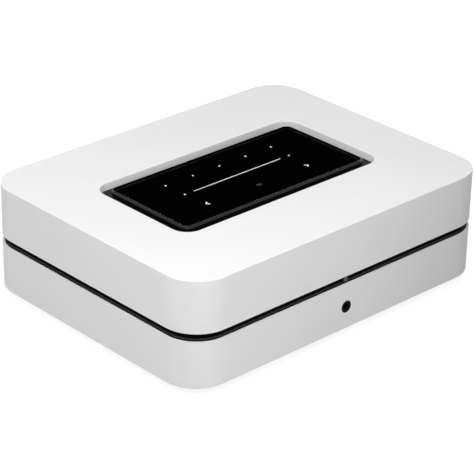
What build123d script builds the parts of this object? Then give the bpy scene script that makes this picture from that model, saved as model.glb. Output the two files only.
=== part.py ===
"""Half-width network music streamer with a built-in amplifier, in millimetres.

Two satin shells meet at a black middle frame, and a black glass touch panel sits in a well in the top.
The frame's origin is under the middle of the whole outline, on the plane that the feet rest on.
+X is to the right seen from the front, +Y is to the back and +Z is up.
Places along a depth or a height are counted from the middle of the case and from its underside.
"""

import os

from build123d import *

os.makedirs("parts", exist_ok=True)

# Case
case_width = 220.0
case_depth = 170.0
case_height = 62.0
corner_radius = 20.8
wall = 2.5
edge_break = 0.5
lower_height = 27.0
gap_height = 4.8
foot_height = 6.0
post_reach = 20.0

# Clearances and the one overrun of all cuts
running_gap = 0.05
fit_gap = 0.15
seat_gap = 0.3
cut_overrun = 5.0

# Screws
screw_radius = 1.45
screw_hole = screw_radius + running_gap
head_radius = 2.8
head_height = 1.7
recess_radius = 1.3
recess_width = 0.7
recess_depth = 0.9
boss_radius = 4.5
boss_inset = 17.0
counterbore_depth = 3.6
case_screw_grip = 10.0

# Middle frame
lip_width = 1.25
frame_inset = 2.6
frame_thickness = 1.6
frame_lap = 5.0
flange_height = 0.9
pad_height = 4.0
pad_radius = 6.0
web_width = 6.0
board_pad_radius = 4.2
board_pad_inset = 12.0
board_pad_spacing = 70.0

# Touch panel well
opening_width = 146.8
opening_depth = 75.8
opening_radius = 10.0
skirt_thickness = 2.0
well_depth = 4.5
tray_thickness = 2.0
glass_top_width = 132.8
glass_top_depth = 61.7
glass_top_radius = 4.0
glass_bevel = 1.15
glass_sink = 0.2
glass_thickness = 3.0
pedestal_inset = 1.0
pedestal_wall = 2.0
pan_thickness = 2.0
mask_thickness = 0.3
guide_thickness = 2.4
touch_board_thickness = 1.2
tray_ear_reach = 8.0
tray_ear_spacing = 44.0
tray_ear_radius = 4.5
tray_boss_radius = 3.2
tray_screw_length = 4.6

# Marks under the glass: five presets, a slider between two dots, two arrows and a sensor
preset_count = 5
preset_pitch = 19.8
preset_place = 16.3
dot_radius = 0.6
slider_length = 65.0
slider_width = 0.7
slider_place = 1.2
slider_dot_reach = 39.1
arrow_reach = 37.4
arrow_place = -15.0
arrow_height = 2.9
arrow_width = 1.7
arrow_stroke = 0.7
sensor_place = -15.9
sensor_width = 4.0
sensor_depth = 2.6

# Front: headphone socket in the lower shell and infrared window in the middle frame
jack_height = 13.3
jack_hole = 3.25
jack_nose = 3.05
jack_recess = 0.9
plug_bore = 1.8
plug_depth = 14.0
jack_width = 12.0
jack_depth = 14.5
jack_body_height = 8.0
headphone_board_width = 30.0
window_radius = 1.45
window_inset = 1.0
window_length = 4.2

# Feet
foot_radius = 11.0
foot_inset = 31.0
foot_seat = 1.0
foot_taper = 1.0

# Circuit boards
board_thickness = 1.6
board_corner = 3.0
board_back_gap = 2.0
power_board_level = 7.0
power_board_inset = 47.0
power_board_notch = 22.0
power_board_tail_inset = 12.0
standoff_radius = 3.5
standoff_inset = 20.0
standoff_margin_x = 8.0
standoff_margin_y = 5.5
main_board_inset = 25.0
main_board_notch = 21.0
main_board_tail_inset = 5.0
main_board_margin = 4.5

# Rear panel
panel_side = 23.0
panel_low = 5.0
panel_high = 6.0
panel_radius = 4.0
panel_lap = 2.3
panel_flange = 1.5
panel_sink = 0.7
panel_screw_inset = 6.0
panel_screw_height = 12.0
panel_post_width = 8.0
panel_post_depth = 8.0
panel_post_height = 17.0
panel_screw_length = 9.0

# Speaker terminals
terminal_inset = 53.5
terminal_pitch = 19.0
terminal_height = 17.5
terminal_count = 4
terminal_block_depth = 4.0
terminal_block_height = 17.0
terminal_block_radius = 6.0
post_radius = 3.4
post_recess = 2.0
banana_bore = 2.05
banana_depth = 10.5
wire_hole = 1.5
wire_hole_out = 2.2
stud_radius = 2.5
stud_length = 9.0
nut_radius = 4.6
nut_height = 2.4
lug_radius = 4.2
lug_width = 5.0
lug_thickness = 0.8
washer_radius = 5.2
washer_thickness = 1.2
knob_radius = 5.8
flute_radius = 0.9
flute_count = 14
knob_rim = 2.2
knob_edge = 0.6

# Mains inlet
inlet_inset = 31.0
inlet_width = 27.0
inlet_depth = 22.0
inlet_lobe = 4.4
inlet_lobe_pitch = 10.6
inlet_shroud = 1.4
inlet_cavity = 13.0
pin_radius = 1.2
pin_pitch = 8.6
pin_length = 10.5

# Signal sockets on the main board, placed as shares of the row's reach each side of the middle
socket_row_inset = 21.0
ethernet_share = 0.94
usb_share = 0.58
hdmi_share = 0.21
jack_shares = (-0.15, -0.42, -0.7)
sub_share = -1
ethernet_width = 16.2
ethernet_height = 13.6
ethernet_depth = 20.0
ethernet_mouth_width = 11.8
ethernet_mouth_height = 6.8
ethernet_latch_width = 6.2
ethernet_latch_height = 2.4
ethernet_cavity = 12.0
usb_width = 13.1
usb_height = 5.9
usb_depth = 14.0
usb_tongue_width = 11.0
usb_tongue_height = 1.7
usb_tongue_drop = 0.7
hdmi_width = 15.0
hdmi_height = 5.6
hdmi_depth = 12.5
hdmi_corner = 1.5
hdmi_tongue_width = 11.6
hdmi_tongue_height = 1.1
shell_thickness = 0.4
socket_sink = 0.4
rear_jack_width = 11.0
rear_jack_height = 9.6
rear_jack_depth = 14.0
rear_jack_nose = 3.2
rear_jack_bore_depth = 13.0
sub_radius = 4.15
sub_wall = 0.55
sub_reach = 8.5
sub_flange_radius = 6.2
sub_flange = 0.8
sub_bore = 1.65
sub_bore_depth = 11.0
sub_body_width = 12.0
sub_body_depth = 10.0

# Parts on the boards
shield_width = 44.0
shield_depth = 38.0
shield_height = 4.0
radio_width = 24.0
radio_depth = 19.0
radio_height = 2.6
chip_width = 13.0
chip_height = 1.3
chip_pitch = 17.0
chip_count = 3
chip_gap = 5.8
chip_row_place = 40.0
antenna_length = 42.0
antenna_height = 11.0
antenna_thickness = 0.8
antenna_level = 40.0
transformer_width = 34.0
transformer_depth = 30.0
transformer_inset = 3.0
bobbin_inset = 4.0
bobbin_width = 22.0
capacitor_radius = 8.0
capacitor_pitch = 18.0
choke_width = 18.0
choke_depth = 14.0
choke_drop = 4.0
sink_depth = 34.0
sink_base = 3.5
sink_gap = 2.5
sink_clearance = 30.5
fin_thickness = 1.6
fin_count = 11
amplifier_width = 14.0
amplifier_height = 1.6
amplifier_pitch = 34.0
link_width = 8.0
link_length = 40.0
bay_clearance = 2.4
cable_width = 14.0
cable_thickness = 0.4
cable_bow = 5.0
receiver_width = 6.0
receiver_depth = 4.6
receiver_height = 5.0
vent_length = 26.0
vent_width = 2.6
vent_pitch = 6.0
vent_count = 9
vent_reach = 33.5

# Places worked out from the sizes above
case_y = -post_reach / 2
case_z = foot_height
back = case_depth / 2
front = -case_depth / 2
upper_bottom = lower_height + gap_height
boss_x = case_width - 2 * boss_inset
boss_y = case_depth - 2 * boss_inset
pad_top = lower_height + pad_height
main_board_level = pad_top
main_board_top = main_board_level + board_thickness
power_board_top = power_board_level + board_thickness
well_floor = case_height - well_depth
glass_top = case_height - glass_sink
glass_bottom = glass_top - glass_thickness
mask_bottom = glass_bottom - mask_thickness
guide_bottom = mask_bottom - guide_thickness
touch_board_bottom = guide_bottom - touch_board_thickness
pan_bottom = touch_board_bottom - pan_thickness
glass_width = glass_top_width + 2 * glass_bevel
glass_depth = glass_top_depth + 2 * glass_bevel
glass_radius = glass_top_radius + glass_bevel
pedestal_width = glass_width - 2 * pedestal_inset
pedestal_depth = glass_depth - 2 * pedestal_inset
pedestal_radius = glass_radius - pedestal_inset
pocket_width = pedestal_width - 2 * pedestal_wall
pocket_depth = pedestal_depth - 2 * pedestal_wall
pocket_radius = pedestal_radius - pedestal_wall
insert_width = pocket_width - 2 * fit_gap
insert_depth = pocket_depth - 2 * fit_gap
insert_radius = pocket_radius - fit_gap
panel_width = case_width - 2 * panel_side
panel_height = case_height - panel_low - panel_high
panel_screw_reach = panel_width / 2 - panel_screw_inset
panel_inside = back - wall - panel_flange
panel_outside = back - panel_sink
panel_middle = panel_low + panel_height / 2
socket_face = panel_outside - socket_sink
block_face = panel_outside + terminal_block_depth
knob_end = back + post_reach
washer_start = block_face + seat_gap
knob_start = washer_start + washer_thickness + seat_gap
post_end = knob_end - post_recess
terminal_middle = terminal_inset - panel_width / 2
terminal_reach = terminal_pitch * (terminal_count - 1) / 2
terminal_places = [
    terminal_middle - terminal_reach + terminal_pitch * number
    for number in range(terminal_count)
]
frame_inner_width = case_width - 2 * (frame_inset + frame_thickness)
foot_x = case_width - 2 * foot_inset
foot_y = case_depth - 2 * foot_inset
pads_x = frame_inner_width - 2 * (board_pad_inset - frame_inset - frame_thickness)
window_height = lower_height + gap_height / 2
inlet_place = panel_width / 2 - inlet_inset
socket_reach = panel_width / 2 - socket_row_inset
ethernet_place = ethernet_share * socket_reach
usb_place = usb_share * socket_reach
hdmi_place = hdmi_share * socket_reach
jack_places = [share * socket_reach for share in jack_shares]
sub_place = sub_share * socket_reach
board_back = panel_inside - board_back_gap
main_board_width = pads_x + 2 * main_board_margin
main_board_front = front + main_board_inset
main_board_step = board_back - main_board_notch
main_board_tail = panel_width - 2 * main_board_tail_inset
standoff_spacing_x = case_width - 2 * standoff_inset
power_board_width = standoff_spacing_x + 2 * standoff_margin_x
power_board_front = front + power_board_inset
power_board_step = board_back - power_board_notch
power_board_tail = panel_width - 2 * power_board_tail_inset
standoff_spacing_y = power_board_step - power_board_front - 2 * standoff_margin_y
bay_height = main_board_level - power_board_top - bay_clearance
tray_ear_x = opening_width + 2 * tray_ear_reach
headphone_board_front = front + wall + 2 * seat_gap
headphone_board_back = headphone_board_front + jack_depth + 2 * standoff_radius + 2 * seat_gap
headphone_screw_row = headphone_board_back - standoff_radius - seat_gap
headphone_screw_places = [
    (side * (headphone_board_width / 2 - standoff_radius), headphone_screw_row) for side in (-1, 1)
]
rear_jack_axis = main_board_top + rear_jack_height / 2
sub_axis = rear_jack_axis + 2 * sub_wall


def level(height):
    """Plane on the case's middle line, at a height above the case's underside."""
    return Plane((0, case_y, case_z + height))


def upright(depth):
    """Upright plane facing the front, with x to the right and y up, at a depth from the case's middle."""
    return Plane((0, case_y + depth, case_z), x_dir=(1, 0, 0), z_dir=(0, -1, 0))


def facing_down(height):
    """Plane facing down at a height above the case's underside."""
    return Plane((0, case_y, case_z + height), x_dir=(1, 0, 0), z_dir=(0, 0, -1))


def finish(piece, label):
    """Label a finished piece and write it."""
    piece.part.label = label
    export_step(piece.part, f"parts/{label}.step")


def slab(low, high, width, depth, radius, mode=Mode.ADD):
    """Rounded rectangle on the case's middle line, from one height to another."""
    with BuildSketch(level(low)) as outline:
        RectangleRounded(width, depth, radius)
    extrude(outline.sketch, amount=high - low, mode=mode)


def block(place, size, mode=Mode.ADD):
    """Box given by the middle of its lower face and its size, counted from the case."""
    x, y, z = place
    with BuildSketch(level(z)) as outline:
        with Locations((x, y)):
            Rectangle(size[0], size[1])
    extrude(outline.sketch, amount=size[2], mode=mode)


def rod(x, height, radius, start, end, mode=Mode.ADD):
    """Round bar along the depth, from one depth to another."""
    with BuildSketch(upright(start)) as outline:
        with Locations((x, height)):
            Circle(radius)
    extrude(outline.sketch, amount=start - end, mode=mode)


def bar(x, height, width, tall, start, end, mode=Mode.ADD):
    """Square bar along the depth, centred on a place and height, from one depth to another."""
    with BuildSketch(upright(start)) as outline:
        with Locations((x, height)):
            Rectangle(width, tall)
    extrude(outline.sketch, amount=start - end, mode=mode)


def cross_recess(plane, places):
    """Cross-shaped driver recess in screw heads that face out of a plane."""
    with BuildSketch(plane) as outline:
        with Locations(*places):
            Rectangle(2 * recess_radius, recess_width)
            Rectangle(recess_width, 2 * recess_radius)
    extrude(outline.sketch, amount=-recess_depth, mode=Mode.SUBTRACT)


def grid(spacing_x, spacing_y, middle_y=0):
    """Four places at the corners of a rectangle."""
    return [
        (sx * spacing_x / 2, middle_y + sy * spacing_y / 2)
        for sx in (-1, 1)
        for sy in (-1, 1)
    ]


case_screw_places = grid(boss_x, boss_y)
foot_places = grid(foot_x, foot_y)
main_pad_places = grid(pads_x, board_pad_spacing)
standoff_middle = (power_board_front + power_board_step) / 2
standoff_places = grid(standoff_spacing_x, standoff_spacing_y, standoff_middle)
tray_ear_places = grid(tray_ear_x, tray_ear_spacing)


def make_upper_shell():
    """Upper shell: satin cover with the well's opening and skirt, and the bosses inside it."""
    with BuildPart() as upper_shell:
        slab(upper_bottom, case_height, case_width, case_depth, corner_radius)
        fillet(upper_shell.faces().sort_by(Axis.Z)[-1].edges(), edge_break)
        inner_top = case_height - wall
        inner_width = case_width - 2 * wall
        inner_depth = case_depth - 2 * wall
        slab(upper_bottom, inner_top, inner_width, inner_depth, corner_radius - wall, Mode.SUBTRACT)
        skirt_width = opening_width + 2 * skirt_thickness
        skirt_depth = opening_depth + 2 * skirt_thickness
        slab(well_floor, inner_top, skirt_width, skirt_depth, opening_radius + skirt_thickness)
        slab(well_floor, case_height, opening_width, opening_depth, opening_radius, Mode.SUBTRACT)
        top_face = upper_shell.faces().sort_by(Axis.Z)[-1]
        fillet(top_face.inner_wires()[0].edges(), edge_break)
        with BuildSketch(level(pad_top)):
            with Locations(*case_screw_places):
                Circle(boss_radius)
        extrude(amount=inner_top - pad_top)
        with BuildSketch(level(well_floor)):
            with Locations(*tray_ear_places):
                Circle(tray_boss_radius)
        extrude(amount=inner_top - well_floor)
        with Locations(facing_down(pad_top)):
            with Locations(*case_screw_places):
                Hole(screw_hole, depth=case_screw_grip + 2 * seat_gap)
        with Locations(facing_down(well_floor)):
            with Locations(*tray_ear_places):
                Hole(screw_hole, depth=tray_screw_length - tray_thickness + seat_gap)
        with BuildSketch(upright(back + cut_overrun)):
            with Locations((0, panel_middle)):
                RectangleRounded(panel_width, panel_height, panel_radius)
        extrude(amount=cut_overrun + wall, mode=Mode.SUBTRACT)
    finish(upper_shell, "upper_shell")


def make_lower_shell():
    """Lower shell: open tray with screw bosses, standoffs, foot seats, vents and front socket hole."""
    with BuildPart() as lower_shell:
        slab(0, lower_height, case_width, case_depth, corner_radius)
        fillet(lower_shell.faces().sort_by(Axis.Z)[0].edges(), edge_break)
        inner_width = case_width - 2 * wall
        inner_depth = case_depth - 2 * wall
        slab(wall, lower_height, inner_width, inner_depth, corner_radius - wall, Mode.SUBTRACT)
        with BuildSketch(level(wall)):
            with Locations(*case_screw_places):
                Circle(boss_radius)
        extrude(amount=lower_height - wall)
        with BuildSketch(level(wall)):
            with Locations(*standoff_places):
                Circle(standoff_radius)
        extrude(amount=power_board_level - wall)
        headphone_level = jack_height - jack_body_height / 2 - board_thickness
        with BuildSketch(level(wall)):
            with Locations(*headphone_screw_places):
                Circle(standoff_radius)
        extrude(amount=headphone_level - wall)
        for side in (-1, 1):
            post_middle = panel_inside - panel_post_depth / 2
            place = (side * panel_screw_reach, post_middle, wall)
            block(place, (panel_post_width, panel_post_depth, panel_post_height))
        with Locations(facing_down(0)):
            with Locations(*case_screw_places):
                CounterBoreHole(screw_hole + fit_gap, head_radius + fit_gap, counterbore_depth)
            with Locations(*foot_places):
                Hole(foot_radius + fit_gap, depth=foot_seat)
        with Locations(level(power_board_level)):
            with Locations(*standoff_places):
                Hole(screw_hole, depth=power_board_level - wall)
        with Locations(level(headphone_level)):
            with Locations(*headphone_screw_places):
                Hole(screw_hole, depth=headphone_level - wall)
        with Locations(upright(front)):
            with Locations((0, jack_height)):
                Hole(jack_hole, depth=wall)
        for side in (-1, 1):
            screw_start = panel_inside - panel_screw_length
            x = side * panel_screw_reach
            rod(x, panel_screw_height, screw_hole, screw_start, panel_inside, Mode.SUBTRACT)
        with BuildSketch(level(0)):
            with Locations((-vent_reach, 0), (vent_reach, 0)):
                with GridLocations(0, vent_pitch, 1, vent_count):
                    SlotOverall(vent_length, vent_width)
        extrude(amount=wall, mode=Mode.SUBTRACT)
        with BuildSketch(upright(back + cut_overrun)):
            with Locations((0, panel_middle)):
                RectangleRounded(panel_width, panel_height, panel_radius)
        extrude(amount=cut_overrun + wall, mode=Mode.SUBTRACT)
    finish(lower_shell, "lower_shell")


def make_mid_frame():
    """Middle frame: black ring that shows as the band, with the pads that the boards and bosses sit on."""
    frame_bottom = lower_height - frame_lap
    frame_top = upper_bottom + frame_lap
    outer_width = case_width - 2 * frame_inset
    outer_depth = case_depth - 2 * frame_inset
    inner_depth = outer_depth - 2 * frame_thickness
    outer_radius = corner_radius - frame_inset
    with BuildPart() as mid_frame:
        slab(frame_bottom, frame_top, outer_width, outer_depth, outer_radius)
        flange_top = lower_height + flange_height
        flange_width = case_width - 2 * lip_width
        flange_depth = case_depth - 2 * lip_width
        slab(lower_height, flange_top, flange_width, flange_depth, corner_radius - lip_width)
        hollow_radius = outer_radius - frame_thickness
        slab(frame_bottom, frame_top, frame_inner_width, inner_depth, hollow_radius, Mode.SUBTRACT)
        corner_web = frame_inner_width / 2 - boss_x / 2
        board_web = frame_inner_width / 2 - pads_x / 2
        with BuildSketch(level(lower_height)):
            with Locations(*case_screw_places):
                Circle(pad_radius)
            with Locations(*main_pad_places):
                Circle(board_pad_radius)
            with Locations(*grid(boss_x + corner_web, boss_y)):
                Rectangle(corner_web, web_width)
            with Locations(*grid(pads_x + board_web, board_pad_spacing)):
                Rectangle(board_web, web_width)
        extrude(amount=pad_height)
        with Locations(level(pad_top)):
            with Locations(*case_screw_places):
                Hole(screw_hole + fit_gap, depth=pad_height)
            with Locations(*main_pad_places):
                Hole(screw_hole, depth=pad_height)
        rod(0, window_height, window_radius + fit_gap, front, front + boss_inset, Mode.SUBTRACT)
        cut_width = panel_width + 2 * panel_lap + 2 * fit_gap
        cut_height = frame_top - frame_bottom
        block((0, back, frame_bottom), (cut_width, boss_inset, cut_height), Mode.SUBTRACT)
    finish(mid_frame, "mid_frame")


def make_rear_panel():
    """Rear panel: black plate that fills the cut-out in both shells, with a flange behind their walls."""
    with BuildPart() as rear_panel:
        with BuildSketch(upright(panel_inside)):
            with Locations((0, panel_middle)):
                lap_width = panel_width + 2 * panel_lap
                RectangleRounded(lap_width, panel_height + 2 * panel_lap, panel_radius)
        extrude(amount=-panel_flange)
        with BuildSketch(upright(panel_inside)):
            with Locations((0, panel_middle)):
                plate_height = panel_height - 2 * fit_gap
                RectangleRounded(panel_width - 2 * fit_gap, plate_height, panel_radius - fit_gap)
        extrude(amount=panel_inside - panel_outside)
        for x in terminal_places:
            rod(x, terminal_height, stud_radius + fit_gap, panel_inside, panel_outside, Mode.SUBTRACT)
        for side in (-1, 1):
            x = side * panel_screw_reach
            rod(x, panel_screw_height, screw_hole + fit_gap, panel_inside, panel_outside, Mode.SUBTRACT)
        for x in jack_places:
            rod(x, rear_jack_axis, rear_jack_nose + fit_gap, panel_inside, panel_outside, Mode.SUBTRACT)
        sub_hole = sub_radius - sub_wall + fit_gap
        rod(sub_place, sub_axis, sub_hole, panel_inside, panel_outside, Mode.SUBTRACT)
        gaps = 2 * fit_gap
        for x, width, tall in (
            (ethernet_place, ethernet_width, ethernet_height),
            (usb_place, usb_width, usb_height),
            (hdmi_place, hdmi_width, hdmi_height),
        ):
            middle = main_board_top + tall / 2
            bar(x, middle, width + gaps, tall + gaps, panel_inside, panel_outside, Mode.SUBTRACT)
        with BuildSketch(upright(panel_inside)):
            with Locations((inlet_place, terminal_height)):
                shroud = inlet_lobe + inlet_shroud + fit_gap
                SlotCenterToCenter(inlet_lobe_pitch, 2 * shroud)
        extrude(amount=panel_inside - panel_outside, mode=Mode.SUBTRACT)
    finish(rear_panel, "rear_panel")


def make_feet():
    """Four rubber feet, each seated in a round recess under the lower shell."""
    names = ("foot_front_left", "foot_back_left", "foot_front_right", "foot_back_right")
    for name, (x, y) in zip(names, foot_places):
        with BuildPart() as foot:
            with BuildSketch(level(-foot_height)):
                with Locations((x, y)):
                    Circle(foot_radius)
            extrude(amount=foot_height + foot_seat)
            chamfer(foot.faces().sort_by(Axis.Z)[0].edges(), foot_taper)
        finish(foot, name)


def make_screws():
    """Case, board, tray and panel screws, each kind as one group."""
    head_seat = counterbore_depth
    with BuildPart() as case_screws:
        with BuildSketch(level(head_seat - head_height)):
            with Locations(*case_screw_places):
                Circle(head_radius)
        extrude(amount=head_height)
        with BuildSketch(level(head_seat)):
            with Locations(*case_screw_places):
                Circle(screw_radius)
        extrude(amount=pad_top + case_screw_grip - head_seat)
        down = facing_down(head_seat - head_height)
        cross_recess(down, [(x, -y) for x, y in case_screw_places])
    finish(case_screws, "case_screws")

    headphone_top = jack_height - jack_body_height / 2
    seats = [(standoff_places, power_board_top, power_board_level - wall)]
    seats.append((main_pad_places, main_board_top, pad_height))
    seats.append((headphone_screw_places, headphone_top, headphone_top - board_thickness - wall))
    with BuildPart() as board_screws:
        for places, seat, bite in seats:
            shank = board_thickness + bite - seat_gap
            with BuildSketch(level(seat - shank)):
                with Locations(*places):
                    Circle(screw_radius)
            extrude(amount=shank)
            with BuildSketch(level(seat)):
                with Locations(*places):
                    Circle(head_radius)
            extrude(amount=head_height)
            cross_recess(level(seat + head_height), places)
    finish(board_screws, "board_screws")

    tray_seat = well_floor - tray_thickness
    with BuildPart() as tray_screws:
        with BuildSketch(level(tray_seat - head_height)):
            with Locations(*tray_ear_places):
                Circle(head_radius)
        extrude(amount=head_height)
        with BuildSketch(level(tray_seat)):
            with Locations(*tray_ear_places):
                Circle(screw_radius)
        extrude(amount=tray_screw_length)
        down = facing_down(tray_seat - head_height)
        cross_recess(down, [(x, -y) for x, y in tray_ear_places])
    finish(tray_screws, "tray_screws")

    with BuildPart() as panel_screws:
        for side in (-1, 1):
            x = side * panel_screw_reach
            rod(x, panel_screw_height, head_radius, panel_outside, panel_outside + head_height)
            start = panel_inside - panel_screw_length + seat_gap
            rod(x, panel_screw_height, screw_radius, start, panel_outside)
            face = panel_outside + head_height
            arms = (2 * recess_radius, recess_width)
            for width, tall in (arms, arms[::-1]):
                floor = face - recess_depth
                bar(x, panel_screw_height, width, tall, floor, face, Mode.SUBTRACT)
    finish(panel_screws, "panel_screws")


def icon_outlines(grow=0):
    """Sketch of all lit marks: dots, slider line and two arrows."""
    middle_preset = (preset_count - 1) / 2
    preset_places = [
        (preset_pitch * (number - middle_preset), preset_place) for number in range(preset_count)
    ]
    slider_dots = [(side * slider_dot_reach, slider_place) for side in (-1, 1)]
    with Locations(*preset_places, *slider_dots):
        Circle(dot_radius + grow)
    with Locations((0, slider_place)):
        Rectangle(slider_length + 2 * grow, slider_width + 2 * grow)
    for side in (-1, 1):
        tip = side * (arrow_reach + arrow_width / 2)
        tail = tip - side * arrow_width
        with BuildLine() as stroke:
            Polyline(
                (tail, arrow_place + arrow_height / 2),
                (tip, arrow_place),
                (tail, arrow_place - arrow_height / 2),
            )
        trace(stroke.line, line_width=arrow_stroke + 2 * grow)


def sensor_outline(grow=0):
    """Sketch of the sensor's window."""
    with Locations((0, sensor_place)):
        Ellipse(sensor_width / 2 + grow, sensor_depth / 2 + grow)


def make_touch_panel():
    """Tray, cover glass, printed mask, light guide, sensor window, touch board and its flat cable."""
    slot_depth = 2 * cable_thickness + 2 * seat_gap
    cable_place = -pocket_depth / 4
    with BuildPart() as panel_tray:
        flange_width = opening_width + 2 * skirt_thickness
        flange_depth = opening_depth + 2 * skirt_thickness
        tray_bottom = well_floor - tray_thickness
        slab(tray_bottom, well_floor, flange_width, flange_depth, opening_radius + skirt_thickness)
        with BuildSketch(level(tray_bottom)):
            with Locations(*tray_ear_places):
                Circle(tray_ear_radius)
            ear_length = tray_ear_reach
            with Locations(*grid(opening_width + ear_length, tray_ear_spacing)):
                Rectangle(ear_length, 2 * tray_ear_radius)
        extrude(amount=tray_thickness)
        slab(pan_bottom, glass_bottom, pedestal_width, pedestal_depth, pedestal_radius)
        slab(touch_board_bottom, glass_bottom, pocket_width, pocket_depth, pocket_radius, Mode.SUBTRACT)
        slot = (cable_width + 2 * seat_gap, slot_depth, pan_thickness)
        block((0, cable_place, pan_bottom), slot, Mode.SUBTRACT)
        with Locations(level(well_floor)):
            with Locations(*tray_ear_places):
                Hole(screw_hole + fit_gap, depth=tray_thickness)
    finish(panel_tray, "panel_tray")

    with BuildPart() as touch_glass:
        slab(glass_bottom, glass_top, glass_width, glass_depth, glass_radius)
        chamfer(touch_glass.faces().sort_by(Axis.Z)[-1].edges(), glass_bevel)
    finish(touch_glass, "touch_glass")

    with BuildPart() as icon_mask:
        slab(mask_bottom, glass_bottom, insert_width, insert_depth, insert_radius)
        with BuildSketch(level(mask_bottom)):
            icon_outlines()
        extrude(amount=mask_thickness, mode=Mode.SUBTRACT)
        with BuildSketch(level(mask_bottom)):
            sensor_outline()
        extrude(amount=mask_thickness, mode=Mode.SUBTRACT)
    finish(icon_mask, "icon_mask")

    tip_gap = running_gap / 2
    with BuildPart() as light_guide:
        slab(guide_bottom, mask_bottom, insert_width, insert_depth, insert_radius)
        with BuildSketch(level(mask_bottom)):
            icon_outlines(-tip_gap)
        extrude(amount=mask_thickness)
        with BuildSketch(level(guide_bottom)):
            sensor_outline(fit_gap)
        extrude(amount=guide_thickness, mode=Mode.SUBTRACT)
    finish(light_guide, "light_guide")

    with BuildPart() as sensor_window:
        with BuildSketch(level(guide_bottom)):
            sensor_outline(-tip_gap)
        extrude(amount=guide_thickness + mask_thickness)
    finish(sensor_window, "sensor_window")

    with BuildPart() as touch_board:
        slab(touch_board_bottom, guide_bottom, insert_width, insert_depth, insert_radius)
    finish(touch_board, "touch_board")

    with BuildPart() as touch_cable:
        start = touch_board_bottom
        end = main_board_top
        middle = (start + end) / 2
        side = Plane((-cable_width / 2, case_y, case_z), x_dir=(0, 1, 0), z_dir=(1, 0, 0))
        with BuildSketch(side):
            with BuildLine():
                FilletPolyline(
                    (cable_place, start),
                    (cable_place, pan_bottom - cable_bow / 2),
                    (cable_place - cable_bow, middle),
                    (cable_place, end + cable_bow / 2),
                    (cable_place, end),
                    radius=cable_bow,
                )
            trace(line_width=cable_thickness)
        extrude(amount=cable_width)
    finish(touch_cable, "touch_cable")


def make_front_sockets():
    """Headphone jack on its own small board, and the infrared window with its receiver."""
    board_top = jack_height - jack_body_height / 2
    with BuildPart() as headphone_jack:
        body_start = front + wall + seat_gap
        bar(0, jack_height, jack_width, jack_body_height, body_start, body_start + jack_depth)
        rod(0, jack_height, jack_nose, front + jack_recess, body_start)
        nose_face = front + jack_recess
        rod(0, jack_height, plug_bore, nose_face, nose_face + plug_depth, Mode.SUBTRACT)
        rim = headphone_jack.edges().filter_by(GeomType.CIRCLE).sort_by(Axis.Y)[0:2]
        chamfer(rim.sort_by(SortBy.RADIUS)[0], seat_gap)
    finish(headphone_jack, "headphone_jack")

    with BuildPart() as headphone_board:
        depth = headphone_board_back - headphone_board_front
        middle = (headphone_board_front + headphone_board_back) / 2
        block((0, middle, board_top - board_thickness), (headphone_board_width, depth, board_thickness))
        with Locations(level(board_top)):
            with Locations(*headphone_screw_places):
                Hole(screw_hole + fit_gap, depth=board_thickness)
    finish(headphone_board, "headphone_board")

    window_front = front + window_inset
    window_back = window_front + window_length
    with BuildPart() as ir_window:
        rod(0, window_height, window_radius, window_front, window_back)
        rod(0, window_height, 2 * window_radius, window_back, window_back + seat_gap)
        fillet(ir_window.edges().sort_by(Axis.Y)[0], window_radius / 3)
    finish(ir_window, "ir_window")

    with BuildPart() as ir_receiver:
        receiver_front = window_back + 2 * seat_gap
        receiver_middle = receiver_front + window_radius + receiver_depth / 2
        receiver_low = window_height - receiver_height / 2
        block((0, receiver_middle, receiver_low), (receiver_width, receiver_depth, receiver_height))
        rod(0, window_height, window_radius, receiver_front, receiver_middle)
        lead_pitch = receiver_width / 3
        for number in (-1, 0, 1):
            lead = (cable_thickness, cable_thickness, cable_thickness)
            lead_x = number * lead_pitch
            lead_back = receiver_middle + receiver_depth / 2
            reach = main_board_front - lead_back + 2 * board_corner
            bar(lead_x, main_board_level - lead[0] / 2, lead[0], lead[1], lead_back, lead_back + reach)
            drop = main_board_level - window_height
            block((lead_x, lead_back + lead[0] / 2, window_height), (lead[0], lead[1], drop))
    finish(ir_receiver, "ir_receiver")


def board_outline(plane, width, start, step, tail):
    """Board with a wide middle and a narrower tail towards the rear panel."""
    with BuildSketch(plane) as outline:
        with Locations((0, (start + step) / 2)):
            RectangleRounded(width, step - start, board_corner)
        with Locations((0, (start + board_back) / 2)):
            RectangleRounded(tail, board_back - start, board_corner)
    return outline.sketch


def make_main_board():
    """Main board with its shielded processor, radio module, chips and antennas."""
    with BuildPart() as main_board:
        plane = level(main_board_level)
        outline = board_outline(
            plane, main_board_width, main_board_front, main_board_step, main_board_tail
        )
        extrude(outline, amount=board_thickness)
        with Locations(level(main_board_top)):
            with Locations(*main_pad_places):
                Hole(screw_hole + fit_gap, depth=board_thickness)
    finish(main_board, "main_board")

    with BuildPart() as processor_shield:
        block((0, main_board_step / 3, main_board_top), (shield_width, shield_depth, shield_height))
        fillet(processor_shield.edges().filter_by(Axis.Z), board_corner)
        fillet(processor_shield.faces().sort_by(Axis.Z)[-1].edges(), edge_break)
    finish(processor_shield, "processor_shield")

    with BuildPart() as radio_module:
        radio_x = main_board_width / 3
        block((radio_x, 0, main_board_top), (radio_width, radio_depth, radio_height))
        chamfer(radio_module.faces().sort_by(Axis.Z)[-1].edges(), edge_break)
    finish(radio_module, "radio_module")

    with BuildPart() as main_chips:
        first_chip = -(shield_width / 2 + chip_gap + chip_width / 2)
        for number in range(chip_count):
            chip_x = first_chip - chip_pitch * number
            block((chip_x, chip_row_place / 2, main_board_top), (chip_width, chip_width, chip_height))
    finish(main_chips, "main_chips")

    with BuildPart() as antennas:
        for side in (-1, 1):
            reach = case_width / 2 - wall - antenna_thickness / 2
            place = (side * reach, 0, antenna_level)
            block(place, (antenna_thickness, antenna_length, antenna_height))
    finish(antennas, "antennas")


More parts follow.
